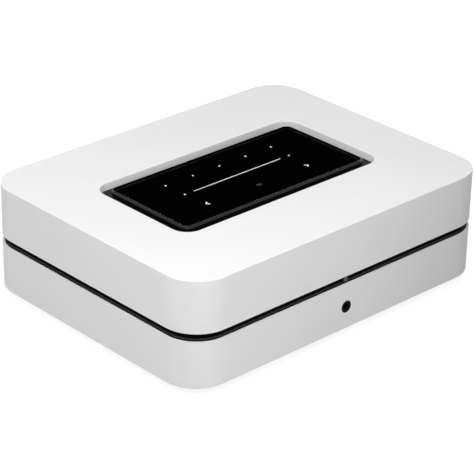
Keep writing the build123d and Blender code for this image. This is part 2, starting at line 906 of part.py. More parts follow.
def make_power_board():
    """Power and amplifier board with its transformer, capacitors, choke, chips, heat sink and board link."""
    top = power_board_top
    with BuildPart() as power_board:
        plane = level(power_board_level)
        outline = board_outline(
            plane, power_board_width, power_board_front, power_board_step, power_board_tail
        )
        extrude(outline, amount=board_thickness)
        with Locations(level(top)):
            with Locations(*standoff_places):
                Hole(screw_hole + fit_gap, depth=board_thickness)
    finish(power_board, "power_board")

    transformer_y = power_board_front + transformer_inset + transformer_depth / 2
    with BuildPart() as transformer:
        core_height = bay_height - 2 * bobbin_inset
        place = (inlet_place, transformer_y, top)
        block(place, (bobbin_width, transformer_depth, bay_height))
        core_low = top + bobbin_inset
        core = (transformer_width, transformer_depth - 2 * bobbin_inset, core_height)
        block((inlet_place, transformer_y, core_low), core)
    finish(transformer, "transformer")

    capacitor_y = transformer_y + transformer_depth / 2 + capacitor_radius + 2 * edge_break
    capacitor_places = [
        (inlet_place + side * capacitor_pitch / 2, capacitor_y) for side in (-1, 1)
    ]
    with BuildPart() as bulk_capacitors:
        with BuildSketch(level(top)):
            with Locations(*capacitor_places):
                Circle(capacitor_radius)
        extrude(amount=bay_height)
        fillet(bulk_capacitors.faces().group_by(Axis.Z)[-1].edges(), edge_break)
    finish(bulk_capacitors, "bulk_capacitors")

    with BuildPart() as line_choke:
        choke_y = capacitor_y + capacitor_radius + 2 * edge_break + choke_depth / 2
        block((inlet_place, choke_y, top), (choke_width, choke_depth, bay_height - choke_drop))
        fillet(line_choke.edges().filter_by(Axis.Z), board_corner)
    finish(line_choke, "line_choke")

    link_x = 2 * link_width - power_board_width / 2
    sink_left = link_x + link_width / 2 + sink_gap
    sink_right = inlet_place - transformer_width / 2 - sink_clearance
    sink_width = sink_right - sink_left
    sink_place = ((sink_left + sink_right) / 2, (power_board_front + power_board_step) / 2)
    with BuildPart() as amplifier_chips:
        for side in (-1, 1):
            chip_place = (sink_place[0] + side * amplifier_pitch / 2, sink_place[1], top)
            block(chip_place, (amplifier_width, amplifier_width, amplifier_height))
    finish(amplifier_chips, "amplifier_chips")

    with BuildPart() as heat_sink:
        sink_low = top + amplifier_height
        block((*sink_place, sink_low), (sink_width, sink_depth, sink_base))
        fin_pitch = (sink_width - fin_thickness) / (fin_count - 1)
        with BuildSketch(level(sink_low + sink_base)):
            with Locations(sink_place):
                with GridLocations(fin_pitch, 0, fin_count, 1):
                    Rectangle(fin_thickness, sink_depth)
        extrude(amount=bay_height - amplifier_height - sink_base)
    finish(heat_sink, "heat_sink")

    with BuildPart() as board_link:
        block((link_x, sink_place[1], top), (link_width, link_length, main_board_level - top))
    finish(board_link, "board_link")


def make_mains_inlet():
    """Figure-of-eight mains inlet with its two pins."""
    body_low = power_board_top
    body_height = 2 * (terminal_height - body_low)
    body_end = panel_inside
    body_start = body_end - inlet_depth
    outer = 2 * (inlet_lobe + inlet_shroud)
    with BuildPart() as mains_inlet:
        bar(inlet_place, terminal_height, inlet_width, body_height, body_start, body_end)
        with BuildSketch(upright(body_end)):
            with Locations((inlet_place, terminal_height)):
                SlotCenterToCenter(inlet_lobe_pitch, outer)
        extrude(amount=body_end - panel_outside)
        floor = panel_outside - inlet_cavity
        with BuildSketch(upright(floor)):
            with Locations((inlet_place, terminal_height)):
                with GridLocations(inlet_lobe_pitch, 0, 2, 1):
                    Circle(inlet_lobe)
                Rectangle(inlet_lobe_pitch, 2 * inlet_lobe - 2 * inlet_shroud)
        extrude(amount=-inlet_cavity, mode=Mode.SUBTRACT)
        for side in (-1, 1):
            pin_x = inlet_place + side * pin_pitch / 2
            rod(pin_x, terminal_height, pin_radius + running_gap, body_start, floor, Mode.SUBTRACT)
    finish(mains_inlet, "mains_inlet")

    with BuildPart() as mains_pins:
        for side in (-1, 1):
            pin_x = inlet_place + side * pin_pitch / 2
            rod(pin_x, terminal_height, pin_radius, body_start, floor + pin_length)
        tips = mains_pins.faces().sort_by(Axis.Y)[-2:].edges()
        fillet(tips, pin_radius / 2)
    finish(mains_pins, "mains_pins")


def make_ethernet():
    """Network socket: metal shell with a moulded insert."""
    start = socket_face - ethernet_depth
    middle = main_board_top + ethernet_height / 2
    inner_width = ethernet_width - 2 * shell_thickness
    inner_height = ethernet_height - 2 * shell_thickness
    with BuildPart() as ethernet_socket:
        bar(ethernet_place, middle, ethernet_width, ethernet_height, start, socket_face)
        bar(
            ethernet_place, middle, inner_width, inner_height,
            start + shell_thickness, socket_face, Mode.SUBTRACT,
        )
    finish(ethernet_socket, "ethernet_socket")

    with BuildPart() as ethernet_insert:
        back_face = start + shell_thickness
        bar(ethernet_place, middle, inner_width, inner_height, back_face, socket_face - running_gap)
        floor = socket_face - ethernet_cavity
        bar(
            ethernet_place, middle, ethernet_mouth_width, ethernet_mouth_height,
            floor, socket_face, Mode.SUBTRACT,
        )
        latch_middle = middle + ethernet_mouth_height / 2 + ethernet_latch_height / 2
        bar(
            ethernet_place, latch_middle, ethernet_latch_width, ethernet_latch_height,
            floor, socket_face, Mode.SUBTRACT,
        )
    finish(ethernet_insert, "ethernet_insert")


def make_usb():
    """Data socket: metal shell with its tongue."""
    start = socket_face - usb_depth
    middle = main_board_top + usb_height / 2
    inner_width = usb_width - 2 * shell_thickness
    inner_height = usb_height - 2 * shell_thickness
    base_end = start + 2 * usb_tongue_height
    with BuildPart() as usb_socket:
        bar(usb_place, middle, usb_width, usb_height, start, socket_face)
        bar(usb_place, middle, inner_width, inner_height, start, socket_face, Mode.SUBTRACT)
    finish(usb_socket, "usb_socket")

    with BuildPart() as usb_tongue:
        bar(usb_place, middle, inner_width, inner_height, start, base_end)
        tongue_middle = middle + inner_height / 2 - usb_tongue_drop - usb_tongue_height / 2
        tongue_end = socket_face - usb_tongue_height
        bar(usb_place, tongue_middle, usb_tongue_width, usb_tongue_height, base_end, tongue_end)
    finish(usb_tongue, "usb_tongue")


def hdmi_outline(grow):
    """Sketch of the picture socket's outline: a rectangle with its two lower corners cut off."""
    half = hdmi_width / 2 + grow
    low = main_board_top - grow
    high = main_board_top + hdmi_height + grow
    with BuildLine() as border:
        Polyline(
            (hdmi_place - half, high),
            (hdmi_place + half, high),
            (hdmi_place + half, low + hdmi_corner),
            (hdmi_place + half - hdmi_corner, low),
            (hdmi_place - half + hdmi_corner, low),
            (hdmi_place - half, low + hdmi_corner),
            close=True,
        )
    make_face(border.line.edges())


def make_hdmi():
    """Picture and sound return socket: metal shell with its tongue."""
    start = socket_face - hdmi_depth
    middle = main_board_top + hdmi_height / 2
    base_end = start + 2 * hdmi_corner
    with BuildPart() as hdmi_socket:
        with BuildSketch(upright(start)):
            hdmi_outline(0)
        extrude(amount=-hdmi_depth)
        with BuildSketch(upright(start)):
            hdmi_outline(-shell_thickness)
        extrude(amount=-hdmi_depth, mode=Mode.SUBTRACT)
    finish(hdmi_socket, "hdmi_socket")

    with BuildPart() as hdmi_tongue:
        with BuildSketch(upright(start)):
            hdmi_outline(-shell_thickness)
        extrude(amount=start - base_end)
        tongue_end = socket_face - hdmi_corner
        bar(hdmi_place, middle, hdmi_tongue_width, hdmi_tongue_height, base_end, tongue_end)
    finish(hdmi_tongue, "hdmi_tongue")


def make_rear_jacks():
    """Three small jacks: sound in, infrared in and trigger out."""
    names = ("line_in_jack", "infrared_in_jack", "trigger_out_jack")
    body_end = panel_inside - seat_gap
    for name, x in zip(names, jack_places):
        with BuildPart() as jack:
            middle = main_board_top + rear_jack_height / 2
            bar(x, middle, rear_jack_width, rear_jack_height, body_end - rear_jack_depth, body_end)
            rod(x, rear_jack_axis, rear_jack_nose, body_end, socket_face)
            bore_start = socket_face - rear_jack_bore_depth
            rod(x, rear_jack_axis, plug_bore, bore_start, socket_face, Mode.SUBTRACT)
        finish(jack, name)


def make_sub_out():
    """Low-level output: round plated sleeve on the panel, with its insulator and body behind."""
    inner = sub_radius - sub_wall
    sleeve_end = panel_outside + sub_reach
    with BuildPart() as sub_out_sleeve:
        rod(sub_place, sub_axis, sub_radius, panel_outside, sleeve_end)
        rod(sub_place, sub_axis, sub_flange_radius, panel_outside, panel_outside + sub_flange)
        rod(sub_place, sub_axis, inner, panel_outside, sleeve_end, Mode.SUBTRACT)
    finish(sub_out_sleeve, "sub_out_sleeve")

    with BuildPart() as sub_out_insulator:
        body_end = panel_inside - seat_gap
        body_height = 2 * (sub_axis - main_board_top)
        bar(sub_place, sub_axis, sub_body_width, body_height, body_end - sub_body_depth, body_end)
        core_end = sleeve_end - seat_gap
        rod(sub_place, sub_axis, inner - running_gap, body_end, core_end)
        rod(sub_place, sub_axis, sub_bore, core_end - sub_bore_depth, core_end, Mode.SUBTRACT)
    finish(sub_out_insulator, "sub_out_insulator")


def make_terminals():
    """Speaker terminals: one moulded block, four metal posts with nuts, and a washer and a knob on each."""
    block_width = terminal_pitch * terminal_count
    with BuildPart() as terminal_block:
        with BuildSketch(upright(panel_outside)):
            with Locations((terminal_middle, terminal_height)):
                RectangleRounded(block_width, terminal_block_height, terminal_block_radius)
        extrude(amount=-terminal_block_depth)
        fillet(terminal_block.faces().sort_by(Axis.Y)[-1].edges(), edge_break)
        for x in terminal_places:
            hole = post_radius + fit_gap
            rod(x, terminal_height, hole, panel_outside, block_face, Mode.SUBTRACT)
    finish(terminal_block, "terminal_block")

    with BuildPart() as terminal_posts:
        for x in terminal_places:
            rod(x, terminal_height, post_radius, panel_outside, post_end)
            rod(x, terminal_height, stud_radius, panel_inside - stud_length, panel_outside)
            bore_start = post_end - banana_depth
            rod(x, terminal_height, banana_bore, bore_start, post_end, Mode.SUBTRACT)
            wire_place = case_y + block_face + wire_hole_out
            with BuildSketch(Plane((x, wire_place, case_z))):
                Circle(wire_hole)
            extrude(amount=2 * terminal_height, mode=Mode.SUBTRACT)
    finish(terminal_posts, "terminal_posts")

    with BuildPart() as terminal_nuts:
        for x in terminal_places:
            with BuildSketch(upright(panel_inside)):
                with Locations((x, terminal_height)):
                    RegularPolygon(nut_radius, 6)
                    Circle(stud_radius + running_gap, mode=Mode.SUBTRACT)
            extrude(amount=nut_height)
    finish(terminal_nuts, "terminal_nuts")

    lug_end = panel_inside - nut_height
    lug_start = lug_end - lug_thickness
    with BuildPart() as terminal_lugs:
        for x in terminal_places:
            rod(x, terminal_height, lug_radius, lug_start, lug_end)
            strip_height = terminal_height - power_board_top
            strip_middle = power_board_top + strip_height / 2
            bar(x, strip_middle, lug_width, strip_height, lug_start, lug_end)
            rod(x, terminal_height, stud_radius + running_gap, lug_start, lug_end, Mode.SUBTRACT)
    finish(terminal_lugs, "terminal_lugs")

    for number, x in enumerate(terminal_places, start=1):
        with BuildPart() as washer:
            washer_end = washer_start + washer_thickness
            rod(x, terminal_height, washer_radius, washer_start, washer_end)
            hole = post_radius + running_gap
            rod(x, terminal_height, hole, washer_start, washer_end, Mode.SUBTRACT)
        finish(washer, f"clamp_washer_{number}")
        with BuildPart() as knob:
            rod(x, terminal_height, knob_radius, knob_start, knob_end)
            chamfer(knob.faces().filter_by(Axis.Y).edges(), knob_edge)
            flute_end = knob_end - knob_rim
            with BuildSketch(upright(knob_start)):
                with Locations((x, terminal_height)):
                    with PolarLocations(knob_radius + flute_radius / 2, flute_count):
                        Circle(flute_radius)
            extrude(amount=knob_start - flute_end, mode=Mode.SUBTRACT)
            rod(x, terminal_height, hole, knob_start, knob_end, Mode.SUBTRACT)
        finish(knob, f"terminal_knob_{number}")


make_upper_shell()
make_lower_shell()
make_mid_frame()
make_rear_panel()
make_feet()
make_screws()
make_touch_panel()
make_front_sockets()
make_main_board()
make_power_board()
make_mains_inlet()
make_ethernet()
make_usb()
make_hdmi()
make_rear_jacks()
make_sub_out()
make_terminals()
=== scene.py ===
"""Looks of a half-width network music streamer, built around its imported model.

New pieces are surfaces worked out with numpy as functions of two parameters, in metres and in the
model's own frame: +X to the right seen from the front, +Y to the back and +Z up from the floor.
"""

import math
from typing import NamedTuple

import bmesh
import bpy
import numpy as np
from bpy.props import FloatProperty, FloatVectorProperty, IntProperty, PointerProperty
from bpy.types import Operator, Panel, PropertyGroup
from mathutils import Matrix, Vector


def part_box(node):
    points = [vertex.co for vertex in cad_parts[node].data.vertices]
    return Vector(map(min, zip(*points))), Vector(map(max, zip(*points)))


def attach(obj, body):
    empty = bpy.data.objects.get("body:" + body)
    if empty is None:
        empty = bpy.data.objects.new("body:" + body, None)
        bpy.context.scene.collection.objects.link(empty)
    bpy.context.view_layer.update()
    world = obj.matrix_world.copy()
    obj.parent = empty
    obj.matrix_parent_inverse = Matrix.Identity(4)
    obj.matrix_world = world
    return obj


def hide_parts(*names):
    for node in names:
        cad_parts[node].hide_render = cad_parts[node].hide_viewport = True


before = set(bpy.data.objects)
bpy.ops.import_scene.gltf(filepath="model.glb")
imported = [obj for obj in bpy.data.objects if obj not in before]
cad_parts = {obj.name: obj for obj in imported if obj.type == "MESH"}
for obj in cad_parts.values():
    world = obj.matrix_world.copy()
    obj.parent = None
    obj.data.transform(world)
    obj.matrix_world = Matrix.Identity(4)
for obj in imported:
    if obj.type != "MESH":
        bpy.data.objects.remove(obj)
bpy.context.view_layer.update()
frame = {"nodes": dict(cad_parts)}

bl_info = {
    "name": "Network music streamer",
    "version": (1, 0, 0),
    "blender": (4, 5, 0),
    "location": "3D View > Sidebar > Streamer",
    "description": "Builds the streamer's finishes, its detailed pieces and its studio",
    "category": "Object",
}

MM = 0.001
CASE = "case"
NAME_START = "streamer_"

# Directions in the model's frame.
FORWARD = (0, -1, 0)
BACKWARD = (0, 1, 0)
UP = (0, 0, 1)

# How finely surfaces are divided, and how their corners are shaded.
CORNER_STEPS = 16
ROUND_STEPS = 96
EASE_STEPS = 4
FLUTE_STEPS = 12
SHEET_POINTS = 3
MERGE_DISTANCE = 1e-7
SHARP_ANGLE = math.radians(32)


def sizes():
    """The sizes that a user can change."""
    return bpy.context.scene.streamer_sizes


def colours():
    """The colours that a user can change."""
    return bpy.context.scene.streamer_colours


def studio():
    """The stage's settings that a user can change."""
    return bpy.context.scene.streamer_studio


def length(name, description, millimetres):
    """Setting for a length, with its default given in millimetres."""
    return FloatProperty(name=name, description=description, default=millimetres * MM, unit="LENGTH")


def tint(name, description, default):
    """Setting for a linear colour."""
    return FloatVectorProperty(name=name, description=description, default=default, subtype="COLOR")


def number(name, description, default):
    """Setting for a plain number."""
    return FloatProperty(name=name, description=description, default=default)


class StreamerSizes(PropertyGroup):
    """Sizes of the pieces that the scene makes itself."""

    glass_bevel: length("Glass bevel", "Width of the bevel round the cover glass", 1.15)
    glass_corner: length("Glass corner", "Outer corner radius of the cover glass", 5.15)
    glass_ease: length("Glass edge", "How far the cover glass's edges are eased", 0.12)
    glass_bond: length("Glass bond", "How far the glass dips into the print that it is bonded to", 0.02)
    slider_reach: length("Slider reach", "Half the length of the slider's line under the glass", 33)
    ledge_height: length("Ledge height", "Height of the band's ledge above the floor", 33.9)
    plug_bore: length("Plug bore", "Radius of the small jacks' bores", 1.8)
    lip_barrel: length("Headphone barrel", "Radius of the headphone lip inside the shell's hole", 3.2)
    lip_radius: length("Headphone lip", "Radius of the headphone lip's rim on the shell's face", 3.5)
    lip_stand: length("Headphone rim", "How far that rim stands out from the shell's face", 0.08)
    lip_chamfer: length("Headphone lead-in", "Chamfer where a plug enters the headphone lip", 0.5)
    foot_edge: length("Foot edge", "How far a foot's lower edge is rounded", 1.0)
    foot_groove: length("Foot groove", "Depth of the ring groove under a foot", 0.5)
    jack_ring: length("Jack ring", "Outer radius of the plated rings round the small jacks", 2.85)
    jack_ring_stand: length("Jack ring stand", "How far those rings stand out from the jacks", 0.35)
    knob_edge: length("Knob edge", "Bevel at both ends of a terminal knob", 0.6)
    knob_rim: length("Knob rim", "Plain length at a knob's outer end, where the flutes stop", 2.2)
    knob_flute: length("Knob flute", "Depth of a terminal knob's flutes", 0.45)
    knob_bore: length("Knob bore", "Radius of the hole through a terminal knob", 3.45)
    colour_ring_inner: length("Colour ring inside", "Inner radius of the terminals' colour rings", 6.3)
    colour_ring_outer: length("Colour ring outside", "Outer radius of the terminals' colour rings", 7.5)
    colour_ring_stand: length("Colour ring stand", "How far those rings stand out from the block", 0.3)
    knob_flutes: IntProperty(name="Knob flutes", description="Number of flutes round a knob", default=14)


class StreamerColours(PropertyGroup):
    """Colours of the main finishes, as linear values."""

    shell: tint("Shells", "Satin white paint of both shells", (0.8, 0.8, 0.802))
    frame: tint("Middle frame", "Black of the band between the shells", (0.0015, 0.0015, 0.0015))
    # Painted highlight: the ledge's grey stands in for the light falling on its top, which is the same
    # black as the rest of the frame.
    ledge: tint("Ledge", "Grey of the worn top of the band's ledge", (0.045, 0.045, 0.046))
    tray: tint("Tray", "Black of the well's floor", (0.008, 0.008, 0.0085))
    lamp: tint("Lit marks", "Colour of the marks under the glass", (1.0, 1.0, 1.0))
    knob: tint("Red knobs", "Colour of the positive terminals' knobs", (0.42, 0.012, 0.012))
    board: tint("Boards", "Solder mask of the circuit boards", (0.012, 0.085, 0.035))
    floor: tint("Floor", "Colour of the studio's floor", (0.25, 0.25, 0.25))


class StreamerStudio(PropertyGroup):
    """Camera, lamps and floor."""

    camera_place: FloatVectorProperty(
        name="Camera",
        description="Place of the camera",
        subtype="TRANSLATION",
        unit="LENGTH",
        default=(-0.7212, -0.7717, 0.5519),
    )
    camera_turn: FloatVectorProperty(
        name="Camera turn",
        description="Turn about the vertical, angle down and roll of the camera",
        subtype="EULER",
        unit="ROTATION",
        default=(math.radians(-43.4), math.radians(26.508), math.radians(1.12)),
    )
    lens: number("Lens", "Focal length in millimetres on a 36 mm sensor", 159.4)
    ambient: number("Ambient", "Strength of the even light from all round", 0.3)
    mark_strength: number("Mark strength", "Brightness of the marks under the glass", 0.72)
    slider_share: number("Slider share", "Brightness of the slider's line beside the other marks'", 0.32)
    floor_lift: number("Floor lift", "How much brighter the floor is seen than it lights", 0.86)


def eased(corners, ease, closed=False):
    """Profile with eased corners.

    Near a corner c the line runs from a to b as (1-t)^2 a + 2t(1-t) c + t^2 b, where a and b lie
    on the two edges at the distance ease, or at half an edge where that is shorter.
    """
    corners = np.asarray(corners, float)
    step = np.linspace(0, 1, EASE_STEPS + 1)[None, :, None]
    middle = corners if closed else corners[1:-1]
    before = np.roll(corners, 1, axis=0) - corners
    after = np.roll(corners, -1, axis=0) - corners
    if not closed:
        before = before[1:-1]
        after = after[1:-1]
    reach_before = np.linalg.norm(before, axis=1, keepdims=True)
    reach_after = np.linalg.norm(after, axis=1, keepdims=True)
    start = middle + before / reach_before * np.minimum(ease, reach_before / 2)
    end = middle + after / reach_after * np.minimum(ease, reach_after / 2)
    curve = (
        (1 - step) ** 2 * start[:, None]
        + 2 * step * (1 - step) * middle[:, None]
        + step**2 * end[:, None]
    ).reshape(-1, 2)
    if closed:
        return curve
    return np.concatenate((corners[:1], curve, corners[-1:]))


def rounded_path(centre, width, depth, radius):
    """Corner centres and outward directions round a level rounded rectangle.

    At each corner the direction sweeps a quarter turn as (cos a, sin a, 0) in equal steps.
    """
    sweep = np.linspace(0, math.pi / 2, CORNER_STEPS + 1)
    angle = (np.arange(4)[:, None] * math.pi / 2 + sweep).ravel()
    outward = np.stack((np.cos(angle), np.sin(angle), np.zeros_like(angle)), axis=1)
    signs = np.array(((1, 1), (-1, 1), (-1, -1), (1, -1)), float)
    corner = signs * (width / 2 - radius, depth / 2 - radius)
    core = np.zeros_like(outward)
    core[:, :2] = np.repeat(corner, CORNER_STEPS + 1, axis=0)
    return core + np.asarray(centre, float), outward


def round_path(centre, axis, steps=ROUND_STEPS):
    """One centre and outward directions round a circle, square to its axis: side cos a + cross sin a."""
    axis = np.asarray(axis, float)
    side = np.array((1.0, 0.0, 0.0))
    cross = np.cross(axis, side)
    angle = np.linspace(0, 2 * math.pi, steps, endpoint=False)
    outward = np.cos(angle)[:, None] * side + np.sin(angle)[:, None] * cross
    return np.broadcast_to(np.asarray(centre, float), outward.shape), outward


def carried(path, profile, axis, reach_change=0.0):
    """Grid of a profile carried round a path: point = core + outward x reach + axis x height."""
    core, outward = path
    reach = profile[:, :1] + reach_change
    height = profile[:, 1]
    points = core[None] + outward[None] * reach[:, :, None]
    return points + np.asarray(axis, float) * height[:, None, None]


def grid_faces(rows, columns, round_rows):
    """Faces that join each point of a grid to the next in its row and in the next row."""
    count = rows if round_rows else rows - 1
    row, column = np.meshgrid(np.arange(count), np.arange(columns), indexing="ij")
    next_row = (row + 1) % rows
    next_column = (column + 1) % columns
    corners = (
        row * columns + column,
        row * columns + next_column,
        next_row * columns + next_column,
        next_row * columns + column,
    )
    return np.stack([corner.ravel() for corner in corners], axis=1).tolist()


def surface(points, round_rows=False, capped=True):
    """Points and faces of a grid that closes round its columns, with a cap at each open end."""
    rows, columns = points.shape[:2]
    faces = grid_faces(rows, columns, round_rows)
    if capped and not round_rows:
        faces.append(list(range(columns))[::-1])
        faces.append(list(range((rows - 1) * columns, rows * columns)))
    return points.reshape(-1, 3), faces


def joined(parts):
    """One set of points and faces from several."""
    points = []
    faces = []
    count = 0
    for part_points, part_faces in parts:
        points.append(part_points)
        faces.extend([index + count for index in face] for face in part_faces)
        count += len(part_points)
    return np.concatenate(points), faces


def middle_of(name):
    """Middle of a node's box."""
    low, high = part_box(name)
    return [(start + end) / 2 for start, end in zip(low, high)]


def piece(name, shape, material, body=CASE, stands_for=()):
    """Make a mesh object from points and faces, with its faces outwards, and set it on its body."""
    points, faces = shape
    mesh = bpy.data.meshes.new(name)
    mesh.from_pydata(points.tolist(), [], faces)
    work = bmesh.new()
    work.from_mesh(mesh)
    bmesh.ops.remove_doubles(work, verts=work.verts, dist=MERGE_DISTANCE)
    bmesh.ops.recalc_face_normals(work, faces=work.faces)
    work.to_mesh(mesh)
    work.free()
    mesh.shade_smooth()
    mesh.set_sharp_from_angle(angle=SHARP_ANGLE)
    mesh.materials.append(material)
    made = bpy.data.objects.new(name, mesh)
    bpy.context.scene.collection.objects.link(made)
    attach(made, body)
    if stands_for:
        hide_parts(*stands_for)
    return made


def dress(material, *names):
    """Give carried-over nodes a finish."""
    for name in names:
        mesh = frame["nodes"][name].data
        mesh.materials.clear()
        mesh.materials.append(material)


def blank_material(name):
    """New material, its node tree, its shader and its Object coordinates."""
    made = bpy.data.materials.new(NAME_START + name)
    made.use_nodes = True
    tree = made.node_tree
    shader = tree.nodes["Principled BSDF"]
    place = tree.nodes.new("ShaderNodeTexCoord").outputs["Object"]
    return made, tree, shader, place


def noise(tree, place, grain, detail=3.0, stretch=(1, 1, 1)):
    """Noise whose grains measure a length, longer along an axis where stretch is below one."""
    mapping = tree.nodes.new("ShaderNodeMapping")
    mapping.inputs["Scale"].default_value = stretch
    tree.links.new(place, mapping.inputs["Vector"])
    node = tree.nodes.new("ShaderNodeTexNoise")
    node.inputs["Scale"].default_value = 1 / grain
    node.inputs["Detail"].default_value = detail
    tree.links.new(mapping.outputs["Vector"], node.inputs["Vector"])
    return node.outputs["Fac"]


def ranged(tree, factor, low, high, start=0.3, end=0.7):
    """Map a factor's middle stretch to a range."""
    node = tree.nodes.new("ShaderNodeMapRange")
    node.inputs["From Min"].default_value = start
    node.inputs["From Max"].default_value = end
    node.inputs["To Min"].default_value = low
    node.inputs["To Max"].default_value = high
    tree.links.new(factor, node.inputs["Value"])
    return node.outputs["Result"]


def toned(tree, factor, first, second):
    """Mix two colours by a factor."""
    node = tree.nodes.new("ShaderNodeMix")
    node.data_type = "RGBA"
    node.inputs["A"].default_value = (*first, 1)
    node.inputs["B"].default_value = (*second, 1)
    tree.links.new(factor, node.inputs["Factor"])
    return node.outputs["Result"]


def combined(tree, operation, *factors):
    """Factors put together by one arithmetic operation."""
    node = tree.nodes.new("ShaderNodeMath")
    node.operation = operation
    for socket, factor in zip(node.inputs, factors):
        tree.links.new(factor, socket)
    return node.outputs["Value"]


def axes(tree, place):
    """The three coordinates of a place."""
    node = tree.nodes.new("ShaderNodeSeparateXYZ")
    tree.links.new(place, node.inputs["Vector"])
    return node.outputs


def raised(tree, shader, factor, depth):
    """Relief of a depth from a factor."""
    node = tree.nodes.new("ShaderNodeBump")
    node.inputs["Distance"].default_value = depth
    tree.links.new(factor, node.inputs["Height"])
    tree.links.new(node.outputs["Normal"], shader.inputs["Normal"])


def shades(colour, share):
    """A colour darkened and lightened by a share."""
    return [tuple(min(1.0, part * level) for part in colour) for level in (1 - share, 1 + share)]


class Finish(NamedTuple):
    """What tells one plain finish from another; grain and relief are lengths."""

    colour: tuple
    drift: float
    roughness: tuple
    grain: float
    relief: float
    metallic: float = 0.0
    stretch: tuple = (1, 1, 1)
    coat: float = 0.0
    gloss: float = 0.5


# Without a colour, a finish is given the one that the user has set.
FINISHES = {
    "infrared_lens": Finish((0.06, 0.05, 0.052), 0.1, (0.12, 0.2), 1.5 * MM, 0.001 * MM),
    "receiver_epoxy": Finish((0.02, 0.02, 0.022), 0.1, (0.3, 0.4), 0.3 * MM, 0.003 * MM),
    "glass_rim": Finish((0.002, 0.002, 0.002), 0.1, (0.1, 0.16), 1 * MM, 0.0005 * MM, gloss=0.35),
    "mask_print": Finish((0.0008, 0.0008, 0.0008), 0.1, (0.5, 0.6), 0.4 * MM, 0.001 * MM, gloss=0.0),
    "sensor_smoke": Finish((0.036, 0.036, 0.038), 0.1, (0.2, 0.3), 0.8 * MM, 0.001 * MM),
    "tray_black": Finish(None, 0.1, (0.36, 0.46), 0.3 * MM, 0.004 * MM, gloss=0.12),
    "cable_film": Finish((0.4, 0.22, 0.05), 0.12, (0.25, 0.35), 1 * MM, 0.004 * MM),
    "socket_black": Finish((0.002, 0.002, 0.002), 0.1, (0.3, 0.42), 0.3 * MM, 0.002 * MM, gloss=0.04),
    "foot_rubber": Finish((0.018, 0.018, 0.018), 0.15, (0.68, 0.82), 0.5 * MM, 0.02 * MM),
    "panel_black": Finish((0.014, 0.014, 0.015), 0.12, (0.48, 0.6), 0.35 * MM, 0.012 * MM),
    "screw_black": Finish((0.05, 0.05, 0.052), 0.15, (0.3, 0.42), 0.3 * MM, 0.004 * MM, 0.9),
    "socket_tin": Finish((0.6, 0.6, 0.59), 0.08, (0.24, 0.36), 0.5 * MM, 0.003 * MM, 1.0, (1, 0.05, 1)),
    "insert_black": Finish((0.014, 0.014, 0.014), 0.1, (0.35, 0.48), 0.3 * MM, 0.003 * MM),
    "gold_plating": Finish((0.83, 0.6, 0.23), 0.06, (0.16, 0.26), 0.4 * MM, 0.002 * MM, 1.0),
    "jack_black": Finish((0.013, 0.013, 0.013), 0.1, (0.35, 0.48), 0.3 * MM, 0.003 * MM),
    "mouth_nickel": Finish((0.66, 0.64, 0.6), 0.06, (0.14, 0.24), 0.4 * MM, 0.002 * MM, 1.0),
    "insulator_white": Finish((0.66, 0.66, 0.64), 0.04, (0.35, 0.45), 0.4 * MM, 0.003 * MM),
    "inlet_black": Finish((0.013, 0.013, 0.013), 0.1, (0.34, 0.46), 0.3 * MM, 0.004 * MM),
    "pin_nickel": Finish((0.68, 0.66, 0.62), 0.06, (0.14, 0.24), 0.4 * MM, 0.002 * MM, 1.0),
    "block_black": Finish((0.015, 0.015, 0.015), 0.1, (0.42, 0.55), 0.35 * MM, 0.008 * MM),
    "lug_copper": Finish((0.7, 0.36, 0.2), 0.1, (0.3, 0.4), 0.4 * MM, 0.004 * MM, 1.0),
    "knob_black": Finish((0.014, 0.014, 0.014), 0.1, (0.16, 0.26), 0.5 * MM, 0.003 * MM, coat=0.4),
    "knob_red": Finish(None, 0.06, (0.16, 0.26), 0.5 * MM, 0.003 * MM, coat=0.4),
    "antenna_board": Finish((0.72, 0.7, 0.62), 0.06, (0.4, 0.5), 0.5 * MM, 0.004 * MM),
    "core_tape": Finish((0.045, 0.04, 0.035), 0.2, (0.4, 0.55), 0.8 * MM, 0.02 * MM),
    "can_sleeve": Finish((0.02, 0.026, 0.055), 0.1, (0.2, 0.3), 1 * MM, 0.003 * MM),
    "sink_aluminium": Finish((0.7, 0.71, 0.72), 0.06, (0.3, 0.42), 0.4 * MM, 0.006 * MM, 1.0, (1, 0.04, 1)),
    "screw_zinc": Finish((0.55, 0.55, 0.56), 0.1, (0.26, 0.38), 0.3 * MM, 0.004 * MM, 1.0),
}

# The colour of a plain finish drifts over this many of its grains.
DRIFT_GRAINS = 30


def finish(name, colour=None):
    """Plain finish by its name, made once: its colour drifts, and a fine grain gives gloss and relief."""
    ready = bpy.data.materials.get(NAME_START + name)
    if ready:
        return ready
    look = FINISHES[name]
    made, tree, shader, place = blank_material(name)
    drift = ranged(tree, noise(tree, place, DRIFT_GRAINS * look.grain, stretch=look.stretch), 0, 1)
    darker, lighter = shades(look.colour if colour is None else colour, look.drift)
    tree.links.new(toned(tree, drift, darker, lighter), shader.inputs["Base Color"])
    grain = noise(tree, place, look.grain, stretch=look.stretch)
    tree.links.new(ranged(tree, grain, *look.roughness), shader.inputs["Roughness"])
    raised(tree, shader, grain, look.relief)
    shader.inputs["Metallic"].default_value = look.metallic
    shader.inputs["Coat Weight"].default_value = look.coat
    shader.inputs["Specular IOR Level"].default_value = look.gloss
    return made


SHELL_DRIFT = 0.006
SHELL_MOTTLE = 35 * MM
SHELL_PEEL = 0.9 * MM
SHELL_ROUGHNESS = (0.4, 0.46)
SHELL_RELIEF = 0.006 * MM


